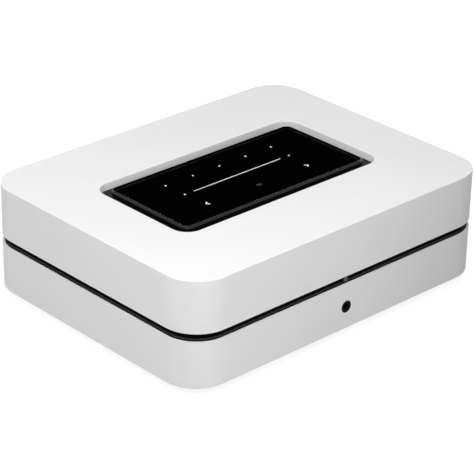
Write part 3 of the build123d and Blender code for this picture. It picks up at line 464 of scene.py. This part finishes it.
def shell_paint():
    """Satin white paint: faint orange-peel, a trace of mottling and slightly uneven gloss."""
    made, tree, shader, place = blank_material("shell_paint")
    mottle = ranged(tree, noise(tree, place, SHELL_MOTTLE, detail=2), 0, 1)
    darker, lighter = shades(colours().shell, SHELL_DRIFT)
    tree.links.new(toned(tree, mottle, darker, lighter), shader.inputs["Base Color"])
    peel = noise(tree, place, SHELL_PEEL, detail=4)
    tree.links.new(ranged(tree, peel, *SHELL_ROUGHNESS), shader.inputs["Roughness"])
    raised(tree, shader, peel, SHELL_RELIEF)
    return made


FRAME_GRAIN = 0.4 * MM
FRAME_ROUGHNESS = (0.34, 0.44)
FRAME_RELIEF = 0.002 * MM
FRAME_GLOSS = 0.02
# Painted highlight on the ledge: how the grain breaks it up, and its band's edges below and above the
# ledge's height.
LEDGE_HIGHLIGHT_SPREAD = (0.75, 1)
LEDGE_BELOW = (-0.2 * MM, -0.1 * MM)
LEDGE_ABOVE = (0.02 * MM, 0.1 * MM)


def frame_black():
    """Matt black with a painted highlight: a grey band at the ledge's height, broken up by the grain,
    stands in for the light that falls on the ledge's top.
    """
    made, tree, shader, place = blank_material("frame_black")
    grain = noise(tree, place, FRAME_GRAIN)
    _, _, height = axes(tree, place)
    ledge = sizes().ledge_height
    # Painted highlight: a band about the ledge's height is toned towards the ledge's grey, broken up by the
    # grain, where light falls on the ledge.
    risen = ranged(tree, height, 0, 1, *[ledge + step for step in LEDGE_BELOW])
    capped = ranged(tree, height, 1, 0, *[ledge + step for step in LEDGE_ABOVE])
    top = combined(tree, "MULTIPLY", risen, capped)
    highlit = combined(tree, "MULTIPLY", top, ranged(tree, grain, *LEDGE_HIGHLIGHT_SPREAD))
    tree.links.new(toned(tree, highlit, colours().frame, colours().ledge), shader.inputs["Base Color"])
    tree.links.new(ranged(tree, grain, *FRAME_ROUGHNESS), shader.inputs["Roughness"])
    raised(tree, shader, grain, FRAME_RELIEF)
    shader.inputs["Specular IOR Level"].default_value = FRAME_GLOSS
    return made


SMEAR_GRAIN = 22 * MM
SMEAR_ROUGHNESS = (0.0, 0.012)
SMEAR_STRETCH = (0.45, 0.75)
SMEAR_TINT = (0.96, 0.97, 0.97)
GLASS_IOR = 1.5


def cover_glass():
    """Clear cover glass with faint fingertip smears in its polish."""
    made, tree, shader, place = blank_material("cover_glass")
    smear = noise(tree, place, SMEAR_GRAIN, detail=2)
    tree.links.new(ranged(tree, smear, *SMEAR_ROUGHNESS, *SMEAR_STRETCH), shader.inputs["Roughness"])
    tree.links.new(toned(tree, smear, (1, 1, 1), SMEAR_TINT), shader.inputs["Base Color"])
    shader.inputs["IOR"].default_value = GLASS_IOR
    shader.inputs["Transmission Weight"].default_value = 1.0
    return made


def blacken_rim(pane, top):
    """Give the pane's bevel and sides a black gloss: every face whose middle is below its top."""
    pane.data.materials.append(finish("glass_rim"))
    faces = pane.data.polygons
    middles = np.empty(3 * len(faces), np.float32)
    faces.foreach_get("center", middles)
    below = middles[2::3] < top - sizes().glass_ease / 2
    faces.foreach_set("material_index", below.astype(np.int32))


GUIDE_GRAIN = 4 * MM
GUIDE_MILK = ((0.78, 0.78, 0.78), (0.86, 0.86, 0.86))
GUIDE_ROUGHNESS = (0.3, 0.42)
SLIDER_FADE = 1 * MM
SLIDER_FRONT = (3 * MM, 5 * MM)


def light_guide():
    """Milky guide that glows only where it comes up through the mask, and less along the slider's line.

    The slider's line is the part within the slider's reach of the middle and in front of the presets.
    """
    made, tree, shader, place = blank_material("light_guide")
    milk = noise(tree, place, GUIDE_GRAIN)
    tree.links.new(toned(tree, milk, *GUIDE_MILK), shader.inputs["Base Color"])
    tree.links.new(ranged(tree, milk, *GUIDE_ROUGHNESS), shader.inputs["Roughness"])
    across, along, height = axes(tree, place)
    low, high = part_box("icon_mask")
    lit = ranged(tree, height, 0, studio().mark_strength, (low.z + high.z) / 2, high.z)
    reach = sizes().slider_reach
    within = ranged(tree, combined(tree, "ABSOLUTE", across), 1, 0, reach, reach + SLIDER_FADE)
    middle = (low.y + high.y) / 2
    before = ranged(tree, along, 1, 0, *[middle + step for step in SLIDER_FRONT])
    slider = combined(tree, "MULTIPLY", within, before)
    shown = ranged(tree, slider, 1, studio().slider_share, 0, 1)
    glow = combined(tree, "MULTIPLY", lit, shown)
    shader.inputs["Emission Color"].default_value = (*colours().lamp, 1)
    tree.links.new(glow, shader.inputs["Emission Strength"])
    return made


TRACK_LENGTH = 7 * MM
TRACK_PITCH = 1.3 * MM
TRACK_WIDTH = 0.12 * MM
TRACK_RELIEF = 0.02 * MM
BOARD_SHARE = 0.25
BOARD_WEAVE = 0.6 * MM
BOARD_ROUGHNESS = (0.3, 0.42)


def circuit_board():
    """Solder mask with lighter tracks and a fine weave."""
    made, tree, shader, place = blank_material("circuit_board")
    tracks = tree.nodes.new("ShaderNodeTexBrick")
    tracks.inputs["Scale"].default_value = 1
    tracks.inputs["Brick Width"].default_value = TRACK_LENGTH
    tracks.inputs["Row Height"].default_value = TRACK_PITCH
    tracks.inputs["Mortar Size"].default_value = TRACK_WIDTH
    tree.links.new(place, tracks.inputs["Vector"])
    darker, lighter = shades(colours().board, BOARD_SHARE)
    tree.links.new(toned(tree, tracks.outputs["Fac"], darker, lighter), shader.inputs["Base Color"])
    weave = noise(tree, place, BOARD_WEAVE)
    tree.links.new(ranged(tree, weave, *BOARD_ROUGHNESS), shader.inputs["Roughness"])
    raised(tree, shader, tracks.outputs["Fac"], TRACK_RELIEF)
    return made


class STREAMER_OT_shells(Operator):
    """Paint the upper and lower shells."""

    bl_idname = "streamer.shells"
    bl_label = "Shells"

    def execute(self, context):
        dress(shell_paint(), "upper_shell", "lower_shell")
        return {"FINISHED"}


class STREAMER_OT_middle_frame(Operator):
    """Finish the black middle frame, the infrared window in it and the receiver behind it."""

    bl_idname = "streamer.middle_frame"
    bl_label = "Middle frame"

    def execute(self, context):
        dress(frame_black(), "mid_frame")
        dress(finish("infrared_lens"), "ir_window")
        dress(finish("receiver_epoxy"), "ir_receiver")
        return {"FINISHED"}


class STREAMER_OT_touch_panel(Operator):
    """Make the bevelled cover glass and finish the layers under it."""

    bl_idname = "streamer.touch_panel"
    bl_label = "Touch panel"

    def execute(self, context):
        self.pane()
        dress(finish("mask_print"), "icon_mask")
        dress(light_guide(), "light_guide")
        dress(finish("sensor_smoke"), "sensor_window")
        dress(finish("tray_black", colours().tray), "panel_tray")
        dress(finish("cable_film"), "touch_cable")
        return {"FINISHED"}

    def pane(self):
        """Cover glass: a bevelled profile with eased corners, carried round a rounded rectangle."""
        low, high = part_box("touch_glass")
        bevel = sizes().glass_bevel
        ease = sizes().glass_ease
        corner = sizes().glass_corner
        corners = (
            (0, low.z - sizes().glass_bond),
            (0, high.z - bevel),
            (-bevel, high.z),
            (-bevel - ease, high.z),
        )
        across, along, _ = middle_of("touch_glass")
        path = rounded_path((across, along, 0), high.x - low.x, high.y - low.y, corner)
        profile = eased(corners, ease) + (corner, 0)
        shape = surface(carried(path, profile, UP))
        pane = piece("touch_glass_pane", shape, cover_glass(), stands_for=("touch_glass",))
        blacken_rim(pane, high.z)


class STREAMER_OT_headphone_socket(Operator):
    """Finish the headphone socket and make the lip that fills the shell's hole round its nose."""

    bl_idname = "streamer.headphone_socket"
    bl_label = "Headphone socket"

    def execute(self, context):
        black = finish("socket_black")
        dress(black, "headphone_jack")
        across, _, height = middle_of("headphone_jack")
        nose = -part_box("headphone_jack")[0].y
        shell = -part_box("lower_shell")[0].y
        face = shell + sizes().lip_stand
        barrel = sizes().lip_barrel
        rim = sizes().lip_radius
        bore = sizes().plug_bore
        chamfer = sizes().lip_chamfer
        corners = (
            (bore, nose),
            (barrel, nose),
            (barrel, shell),
            (rim, shell),
            (rim, face),
            (bore + chamfer, face),
            (bore, face - chamfer),
        )
        profile = eased(corners, sizes().lip_stand / 2, closed=True)
        path = round_path((across, 0, height), FORWARD)
        lip = surface(carried(path, profile, FORWARD), round_rows=True)
        piece("headphone_lip", lip, black)
        return {"FINISHED"}


# Radii under a foot, as shares of its flat's radius: the ring groove's two edges and the middle face.
GROOVE_OUTSIDE = 0.72
GROOVE_INSIDE = 0.6
FOOT_MIDDLE = 0.2


class STREAMER_OT_feet(Operator):
    """Make the four rubber feet with rounded edges and a ring groove underneath."""

    bl_idname = "streamer.feet"
    bl_label = "Feet"

    def execute(self, context):
        rubber = finish("foot_rubber")
        edge = sizes().foot_edge
        groove = sizes().foot_groove
        for name in ("foot_front_left", "foot_back_left", "foot_front_right", "foot_back_right"):
            low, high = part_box(name)
            across, along, _ = middle_of(name)
            radius = (high.x - low.x) / 2
            flat = radius - edge
            corners = (
                (radius, high.z),
                (radius, edge),
                (flat, 0),
                (flat * GROOVE_OUTSIDE, 0),
                (flat * GROOVE_OUTSIDE - groove, groove),
                (flat * GROOVE_INSIDE, groove),
                (flat * GROOVE_INSIDE - groove, 0),
                (flat * FOOT_MIDDLE, 0),
            )
            path = round_path((across, along, 0), UP)
            shape = surface(carried(path, eased(corners, groove / 2), UP))
            piece(f"{name}_pad", shape, rubber, stands_for=(name,))
        return {"FINISHED"}


class STREAMER_OT_rear_panel(Operator):
    """Finish the rear panel and its screws."""

    bl_idname = "streamer.rear_panel"
    bl_label = "Rear panel"

    def execute(self, context):
        dress(finish("panel_black"), "rear_panel")
        dress(finish("screw_black"), "panel_screws")
        return {"FINISHED"}


def strip(route, middle_x, width, thickness):
    """Grid of a flat strip along a route in depth and height: its section's corners at each point.

    The corners are the route's point, plus or minus half the width sideways and half the thickness
    along the route's own upright direction.
    """
    route = np.asarray(route, float)
    run = np.gradient(route, axis=0)
    run /= np.linalg.norm(run, axis=1, keepdims=True)
    upright = np.stack((-run[:, 1], run[:, 0]), axis=1)
    side = np.array((-1, 1, 1, -1)) * width / 2
    rise = np.array((-1, -1, 1, 1)) * thickness / 2
    section = route[:, None] + upright[:, None] * rise[None, :, None]
    across = np.broadcast_to(middle_x + side, section.shape[:2])
    return np.concatenate((across[:, :, None], section), axis=2)


def strips(route, places, width, thickness):
    """One mesh of like strips at several places across."""
    return joined([surface(strip(route, x, width, thickness)) for x in places])


FLAT_STEPS = 5


def flat_route(face, span, height):
    """Level route in depth, from one distance inside a face to another."""
    depth = np.linspace(face - span[0], face - span[1], FLAT_STEPS)
    return np.stack((depth, np.full(FLAT_STEPS, height)), axis=1)


def spread(middle, count, pitch):
    """Places at an even pitch about a middle."""
    return middle + (np.arange(count) - (count - 1) / 2) * pitch


# Network socket: its wires' count, pitch, width and thickness, their start inside the face and above
# the mouth's floor, their run inwards and upwards, and that floor's depth below the insert's middle.
WIRE_COUNT = 8
WIRE_PITCH = 1.02 * MM
WIRE_SECTION = (0.45 * MM, 0.3 * MM)
WIRE_START = (1.2 * MM, 0.35 * MM)
WIRE_RUN = (9.6 * MM, 2.6 * MM)
WIRE_BEND = 1.6
WIRE_STEPS = 13
MOUTH_FLOOR = 3.4 * MM

# Data socket: its contacts' places across, width and thickness, span inwards and drop from the top.
DATA_PLACES = np.array((-3.5, -1.0, 1.0, 3.5)) * MM
DATA_SECTION = (1.0 * MM, 0.12 * MM)
DATA_SPAN = (7.5 * MM, 0.6 * MM)
DATA_DROP = 2.4 * MM

# Picture socket: how many contacts lie above and below its tongue's middle, and how far from it.
PICTURE_COUNTS = (10, 9)
PICTURE_PITCH = 1 * MM
PICTURE_SECTION = (0.5 * MM, 0.1 * MM)
PICTURE_SPAN = (6.5 * MM, 0.4 * MM)
PICTURE_RISE = 0.55 * MM


class STREAMER_OT_signal_sockets(Operator):
    """Finish the network, data and picture sockets and set their contacts."""

    bl_idname = "streamer.signal_sockets"
    bl_label = "Signal sockets"

    def execute(self, context):
        dress(finish("socket_tin"), "ethernet_socket", "usb_socket", "hdmi_socket")
        dress(finish("insert_black"), "ethernet_insert", "usb_tongue", "hdmi_tongue")
        gold = finish("gold_plating")
        self.ethernet_contacts(gold)
        self.usb_contacts(gold)
        self.hdmi_contacts(gold)
        return {"FINISHED"}

    def ethernet_contacts(self, gold):
        """Sprung wires: they run inwards as t and rise as t^bend, for t from 0 to 1."""
        across, _, height = middle_of("ethernet_insert")
        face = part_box("ethernet_insert")[1].y
        along = np.linspace(0, 1, WIRE_STEPS)
        depth = face - (WIRE_START[0] + WIRE_RUN[0] * along)
        rise = height - MOUTH_FLOOR + WIRE_START[1] + WIRE_RUN[1] * along**WIRE_BEND
        route = np.stack((depth, rise), axis=1)
        wires = strips(route, spread(across, WIRE_COUNT, WIRE_PITCH), *WIRE_SECTION)
        piece("ethernet_contacts", wires, gold)

    def usb_contacts(self, gold):
        """Four flat contacts under the tongue."""
        across, _, _ = middle_of("usb_tongue")
        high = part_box("usb_tongue")[1]
        route = flat_route(high.y, DATA_SPAN, high.z - DATA_DROP)
        piece("usb_contacts", strips(route, across + DATA_PLACES, *DATA_SECTION), gold)

    def hdmi_contacts(self, gold):
        """Flat contacts on both sides of the tongue."""
        across, _, height = middle_of("hdmi_tongue")
        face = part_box("hdmi_tongue")[1].y
        rows = []
        for count, rise in zip(PICTURE_COUNTS, (PICTURE_RISE, -PICTURE_RISE)):
            route = flat_route(face, PICTURE_SPAN, height + rise)
            rows.append(strips(route, spread(across, count, PICTURE_PITCH), *PICTURE_SECTION))
        piece("hdmi_contacts", joined(rows), gold)


def ring(centre, axis, inner, outer, thickness, ease):
    """Closed ring with eased edges: its section's four corners carried round a circle."""
    corners = ((inner, 0), (outer, 0), (outer, thickness), (inner, thickness))
    points = carried(round_path(centre, axis), eased(corners, ease, closed=True), axis)
    return surface(points, round_rows=True)


SMALL_JACKS = ("line_in_jack", "infrared_in_jack", "trigger_out_jack")
JACK_RING_EASE = 0.12 * MM


class STREAMER_OT_small_jacks(Operator):
    """Finish the small jacks and the round output, and set the jacks' plated mouth rings."""

    bl_idname = "streamer.small_jacks"
    bl_label = "Small jacks"

    def execute(self, context):
        dress(finish("jack_black"), *SMALL_JACKS)
        dress(finish("gold_plating"), "sub_out_sleeve")
        dress(finish("insulator_white"), "sub_out_insulator")
        section = (sizes().plug_bore, sizes().jack_ring, sizes().jack_ring_stand, JACK_RING_EASE)
        rings = []
        for name in SMALL_JACKS:
            across, _, height = middle_of(name)
            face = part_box(name)[1].y
            rings.append(ring((across, face, height), BACKWARD, *section))
        piece("jack_mouth_rings", joined(rings), finish("mouth_nickel"))
        return {"FINISHED"}


class STREAMER_OT_mains_inlet(Operator):
    """Finish the mains inlet and its pins."""

    bl_idname = "streamer.mains_inlet"
    bl_label = "Mains inlet"

    def execute(self, context):
        dress(finish("inlet_black"), "mains_inlet")
        dress(finish("pin_nickel"), "mains_pins")
        return {"FINISHED"}


TERMINAL_COLOURS = {"1": "black", "2": "red", "3": "black", "4": "red"}
COLOUR_RING_EASE = 0.1 * MM


class STREAMER_OT_speaker_terminals(Operator):
    """Make the fluted terminal knobs and their colour rings, and finish the posts and washers."""

    bl_idname = "streamer.speaker_terminals"
    bl_label = "Speaker terminals"

    def execute(self, context):
        washers = [f"clamp_washer_{terminal}" for terminal in TERMINAL_COLOURS]
        dress(finish("gold_plating"), "terminal_posts", *washers)
        dress(finish("block_black"), "terminal_block")
        dress(finish("pin_nickel"), "terminal_nuts")
        dress(finish("lug_copper"), "terminal_lugs")
        grips = {"black": finish("knob_black"), "red": finish("knob_red", colours().knob)}
        for terminal, shade in TERMINAL_COLOURS.items():
            self.knob(terminal, grips[shade], f"knob_{shade}")
        for shade, grip in grips.items():
            self.colour_rings(shade, grip)
        return {"FINISHED"}

    def knob(self, terminal, grip, slot):
        """Fluted knob: its reach loses depth x ((1 + cos n a) / 2)^2 along the fluted length."""
        name = f"terminal_knob_{terminal}"
        low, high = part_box(name)
        across, _, height = middle_of(name)
        radius = (high.x - low.x) / 2
        edge = sizes().knob_edge
        bore = sizes().knob_bore
        flute_end = high.y - sizes().knob_rim
        corners = (
            (bore, low.y),
            (radius - edge, low.y),
            (radius, low.y + edge),
            (radius, flute_end),
            (radius, flute_end + edge),
            (radius, high.y - edge),
            (radius - edge, high.y),
            (bore + edge, high.y),
            (bore, high.y - edge),
        )
        profile = eased(corners, edge / 3, closed=True)
        flutes = sizes().knob_flutes
        steps = flutes * FLUTE_STEPS
        angle = np.linspace(0, 2 * math.pi, steps, endpoint=False)
        dip = ((1 + np.cos(flutes * angle)) / 2) ** 2
        outer = profile[:, 0] > radius - edge / 2
        fluted = np.clip((flute_end + edge / 2 - profile[:, 1]) / (edge / 2), 0, 1) * outer
        change = -sizes().knob_flute * fluted[:, None] * dip[None]
        path = round_path((across, 0, height), BACKWARD, steps)
        shape = surface(carried(path, profile, BACKWARD, change), round_rows=True)
        piece(f"{name}_grip", shape, grip, body=f"knob_{terminal}", stands_for=(name,))

    def colour_rings(self, shade, grip):
        """Thin rings of one colour on the block's face, round the posts of that colour."""
        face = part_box("terminal_block")[1].y
        section = (
            sizes().colour_ring_inner,
            sizes().colour_ring_outer,
            sizes().colour_ring_stand,
            COLOUR_RING_EASE,
        )
        rings = []
        for terminal, colour in TERMINAL_COLOURS.items():
            if colour == shade:
                across, _, height = middle_of(f"clamp_washer_{terminal}")
                rings.append(ring((across, face, height), BACKWARD, *section))
        piece(f"terminal_rings_{shade}", joined(rings), grip)


class STREAMER_OT_boards(Operator):
    """Finish the boards, the parts on them and the screws that hold the case together."""

    bl_idname = "streamer.boards"
    bl_label = "Boards and screws"

    def execute(self, context):
        dress(circuit_board(), "main_board", "power_board", "headphone_board", "touch_board")
        dress(finish("socket_tin"), "processor_shield", "radio_module")
        dress(finish("receiver_epoxy"), "main_chips", "amplifier_chips")
        dress(finish("antenna_board"), "antennas")
        dress(finish("core_tape"), "transformer", "line_choke")
        dress(finish("can_sleeve"), "bulk_capacitors")
        dress(finish("sink_aluminium"), "heat_sink")
        dress(finish("insert_black"), "board_link")
        dress(finish("screw_zinc"), "case_screws", "board_screws", "tray_screws")
        return {"FINISHED"}


def seen_rays(tree):
    """One where a ray comes from the camera, a reflection or a transmission, and zero elsewhere."""
    rays = tree.nodes.new("ShaderNodeLightPath").outputs
    mirrored = combined(tree, "MAXIMUM", rays["Is Glossy Ray"], rays["Is Transmission Ray"])
    return combined(tree, "MAXIMUM", rays["Is Camera Ray"], mirrored)


def flat_sheet(name, centre, first, second, material):
    """Level or upright sheet: point = centre + first x u + second x v, for u and v from -1 to 1."""
    step = np.linspace(-1, 1, SHEET_POINTS)
    u, v = np.meshgrid(step, step, indexing="ij")
    first = np.asarray(first, float)
    second = np.asarray(second, float)
    points = np.asarray(centre, float) + first * u[:, :, None] + second * v[:, :, None]
    index = np.arange(SHEET_POINTS**2).reshape(SHEET_POINTS, SHEET_POINTS)
    faces = np.stack((index[:-1, :-1], index[1:, :-1], index[1:, 1:], index[:-1, 1:]), axis=-1)
    mesh = bpy.data.meshes.new(name)
    mesh.from_pydata(points.reshape(-1, 3).tolist(), [], faces.reshape(-1, 4).tolist())
    mesh.materials.append(material)
    made = bpy.data.objects.new(name, mesh)
    bpy.context.scene.collection.objects.link(made)
    return made


class Lamp(NamedTuple):
    """Square soft lamp: its place and side, its power in watts, and whether reflections show it."""

    place: tuple
    side: float
    power: float
    mirrored: bool = True


# Gloss doesn't mirror the lamps in front and behind, because their shine would bleach the satin top.
LAMPS = {
    "lamp_overhead": Lamp((0, 0, 1.4), 1.2, 3.85),
    "lamp_near_corner": Lamp((-0.4, -0.4, 0.5), 0.3, 3.0),
    "lamp_front": Lamp((0.5, -1.25, 0.7), 0.8, 5.2, mirrored=False),
    "lamp_back_left": Lamp((-0.9, 0.7, 0.8), 0.8, 5.6, mirrored=False),
    "lamp_back_right": Lamp((0.8, 0.9, 0.1), 0.16, 7.0, mirrored=False),
}
LAMP_TARGET = (0, 0, 0.03)

FLOOR_HALF = 6
FLOOR_MOTTLE = 0.08
FLOOR_DRIFT = 0.004
FLOOR_ROUGHNESS = 0.9

CARD_BLACKS = ((0.001, 0.001, 0.001), (0.002, 0.002, 0.002))
CARD_GRAIN = 0.01

# Side card: its middle from the lower shell's right front corner at the floor, and its half sides.
SIDE_CARD_PLACE = (0.045, -0.14, 0.08)
SIDE_CARD_HALVES = (0.11, 0.08)

# Mirrored card: its distance behind the glass, and its half sides.
DARK_CARD_AWAY = 1.5
DARK_CARD_HALVES = (0.3, 0.2)

SENSOR_WIDTH = 36
CLIP_START = 0.01
CLIP_END = 50


class STREAMER_OT_stage(Operator):
    """Set the pale floor, the soft lamps, the two dark cards and the camera."""

    bl_idname = "streamer.stage"
    bl_label = "Stage"

    def execute(self, context):
        self.floor()
        self.world(context)
        for name, lamp in LAMPS.items():
            self.add_lamp(context, name, lamp)
        black = self.card_black()
        self.side_card(black)
        self.dark_card(black)
        self.camera(context)
        context.scene.view_settings.view_transform = "Standard"
        return {"FINISHED"}

    def floor(self):
        """Matt pale floor that is seen a little brighter than it lights, and see-through from below."""
        made, tree, shader, place = blank_material("floor_matt")
        mottle = noise(tree, place, FLOOR_MOTTLE)
        darker, lighter = shades(colours().floor, FLOOR_DRIFT)
        tree.links.new(toned(tree, mottle, darker, lighter), shader.inputs["Base Color"])
        shader.inputs["Roughness"].default_value = FLOOR_ROUGHNESS
        shader.inputs["Specular IOR Level"].default_value = 0.0
        lift = ranged(tree, seen_rays(tree), 0, studio().floor_lift, 0, 1)
        shader.inputs["Emission Color"].default_value = (1, 1, 1, 1)
        tree.links.new(lift, shader.inputs["Emission Strength"])
        mixed = tree.nodes.new("ShaderNodeMixShader")
        clear = tree.nodes.new("ShaderNodeBsdfTransparent")
        side = tree.nodes.new("ShaderNodeNewGeometry").outputs["Backfacing"]
        tree.links.new(side, mixed.inputs["Fac"])
        tree.links.new(shader.outputs["BSDF"], mixed.inputs[1])
        tree.links.new(clear.outputs["BSDF"], mixed.inputs[2])
        tree.links.new(mixed.outputs["Shader"], tree.nodes["Material Output"].inputs["Surface"])
        flat_sheet("floor", (0, 0, 0), (FLOOR_HALF, 0, 0), (0, FLOOR_HALF, 0), made)

    def world(self, context):
        """Even light from all round, seen as white."""
        world = bpy.data.worlds.new("studio_world")
        world.use_nodes = True
        context.scene.world = world
        tree = world.node_tree
        ground = tree.nodes["Background"]
        ground.inputs["Color"].default_value = (1, 1, 1, 1)
        strength = ranged(tree, seen_rays(tree), studio().ambient, 1, 0, 1)
        tree.links.new(strength, ground.inputs["Strength"])

    def add_lamp(self, context, name, lamp):
        """One soft lamp, turned to the object."""
        light = bpy.data.lights.new(name, "AREA")
        light.shape = "SQUARE"
        light.size = lamp.side
        light.energy = lamp.power
        made = bpy.data.objects.new(name, light)
        made.location = lamp.place
        made.rotation_mode = "QUATERNION"
        made.rotation_quaternion = (Vector(LAMP_TARGET) - Vector(lamp.place)).to_track_quat("-Z", "Y")
        made.visible_glossy = lamp.mirrored
        context.scene.collection.objects.link(made)

    def card_black(self):
        """Dull black of both cards."""
        made, tree, shader, place = blank_material("card_black")
        grain = noise(tree, place, CARD_GRAIN)
        tree.links.new(toned(tree, grain, *CARD_BLACKS), shader.inputs["Base Color"])
        shader.inputs["Specular IOR Level"].default_value = 0.0
        return made

    def side_card(self, black):
        """Upright card right of the front that takes light away from the front's far end."""
        low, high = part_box("lower_shell")
        along, up = SIDE_CARD_HALVES
        out, forward, height = SIDE_CARD_PLACE
        centre = (high.x + out, low.y + forward, height)
        card = flat_sheet("side_card", centre, (0, along, 0), (0, 0, up), black)
        card.visible_camera = False
        card.visible_glossy = False
        card.visible_transmission = False

    def dark_card(self, black):
        """Card that only reflections see, behind the object where the glass mirrors it."""
        across, along, _ = middle_of("touch_glass")
        glass = Vector((across, along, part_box("touch_glass")[1].z))
        ray = glass - Vector(studio().camera_place)
        away = Vector((ray.x, ray.y, -ray.z)).normalized()
        level = away.cross(Vector(UP)).normalized()
        half_width, half_height = DARK_CARD_HALVES
        first = half_width * level
        second = half_height * level.cross(away)
        card = flat_sheet("dark_card", glass + DARK_CARD_AWAY * away, first, second, black)
        card.visible_camera = False
        card.visible_diffuse = False
        card.visible_shadow = False
        card.visible_transmission = False

    def camera(self, context):
        """Camera at the place, turn and roll that fit the photograph's view."""
        yaw, pitch, roll = studio().camera_turn
        back = Vector((math.sin(yaw) * math.cos(pitch), -math.cos(yaw) * math.cos(pitch), math.sin(pitch)))
        level = Vector((math.cos(yaw), math.sin(yaw), 0))
        upright = level.cross(-back)
        right = math.cos(roll) * level + math.sin(roll) * upright
        up = math.cos(roll) * upright - math.sin(roll) * level
        data = bpy.data.cameras.new("camera")
        data.sensor_width = SENSOR_WIDTH
        data.lens = studio().lens
        data.clip_start = CLIP_START
        data.clip_end = CLIP_END
        camera = bpy.data.objects.new("camera", data)
        turn = Matrix((right, up, back)).transposed().to_4x4()
        camera.matrix_world = Matrix.Translation(Vector(studio().camera_place)) @ turn
        context.scene.collection.objects.link(camera)
        context.scene.camera = camera


OPERATORS = (
    STREAMER_OT_shells,
    STREAMER_OT_middle_frame,
    STREAMER_OT_touch_panel,
    STREAMER_OT_headphone_socket,
    STREAMER_OT_feet,
    STREAMER_OT_rear_panel,
    STREAMER_OT_signal_sockets,
    STREAMER_OT_small_jacks,
    STREAMER_OT_mains_inlet,
    STREAMER_OT_speaker_terminals,
    STREAMER_OT_boards,
    STREAMER_OT_stage,
)


class STREAMER_PT_panel(Panel):
    """Lists the streamer's pieces and settings."""

    bl_label = "Streamer"
    bl_space_type = "VIEW_3D"
    bl_region_type = "UI"
    bl_category = "Streamer"

    def draw(self, context):
        for operator in OPERATORS:
            self.layout.operator(operator.bl_idname)
        for group in (sizes(), colours(), studio()):
            for name in group.bl_rna.properties.keys():
                if name not in ("rna_type", "name"):
                    self.layout.prop(group, name)


GROUPS = (
    ("streamer_sizes", StreamerSizes),
    ("streamer_colours", StreamerColours),
    ("streamer_studio", StreamerStudio),
)


def register():
    """Register the classes and hang the settings on the scene."""
    for name, group in GROUPS:
        bpy.utils.register_class(group)
        setattr(bpy.types.Scene, name, PointerProperty(type=group))
    for operator in OPERATORS:
        bpy.utils.register_class(operator)
    bpy.utils.register_class(STREAMER_PT_panel)


def unregister():
    """Undo what register did."""
    bpy.utils.unregister_class(STREAMER_PT_panel)
    for operator in reversed(OPERATORS):
        bpy.utils.unregister_class(operator)
    for name, group in reversed(GROUPS):
        delattr(bpy.types.Scene, name)
        bpy.utils.unregister_class(group)


def main():
    """Make every piece and the stage in order."""
    register()
    for operator in OPERATORS:
        section, name = operator.bl_idname.split(".")
        getattr(getattr(bpy.ops, section), name)()


if __name__ == "__main__":
    main()
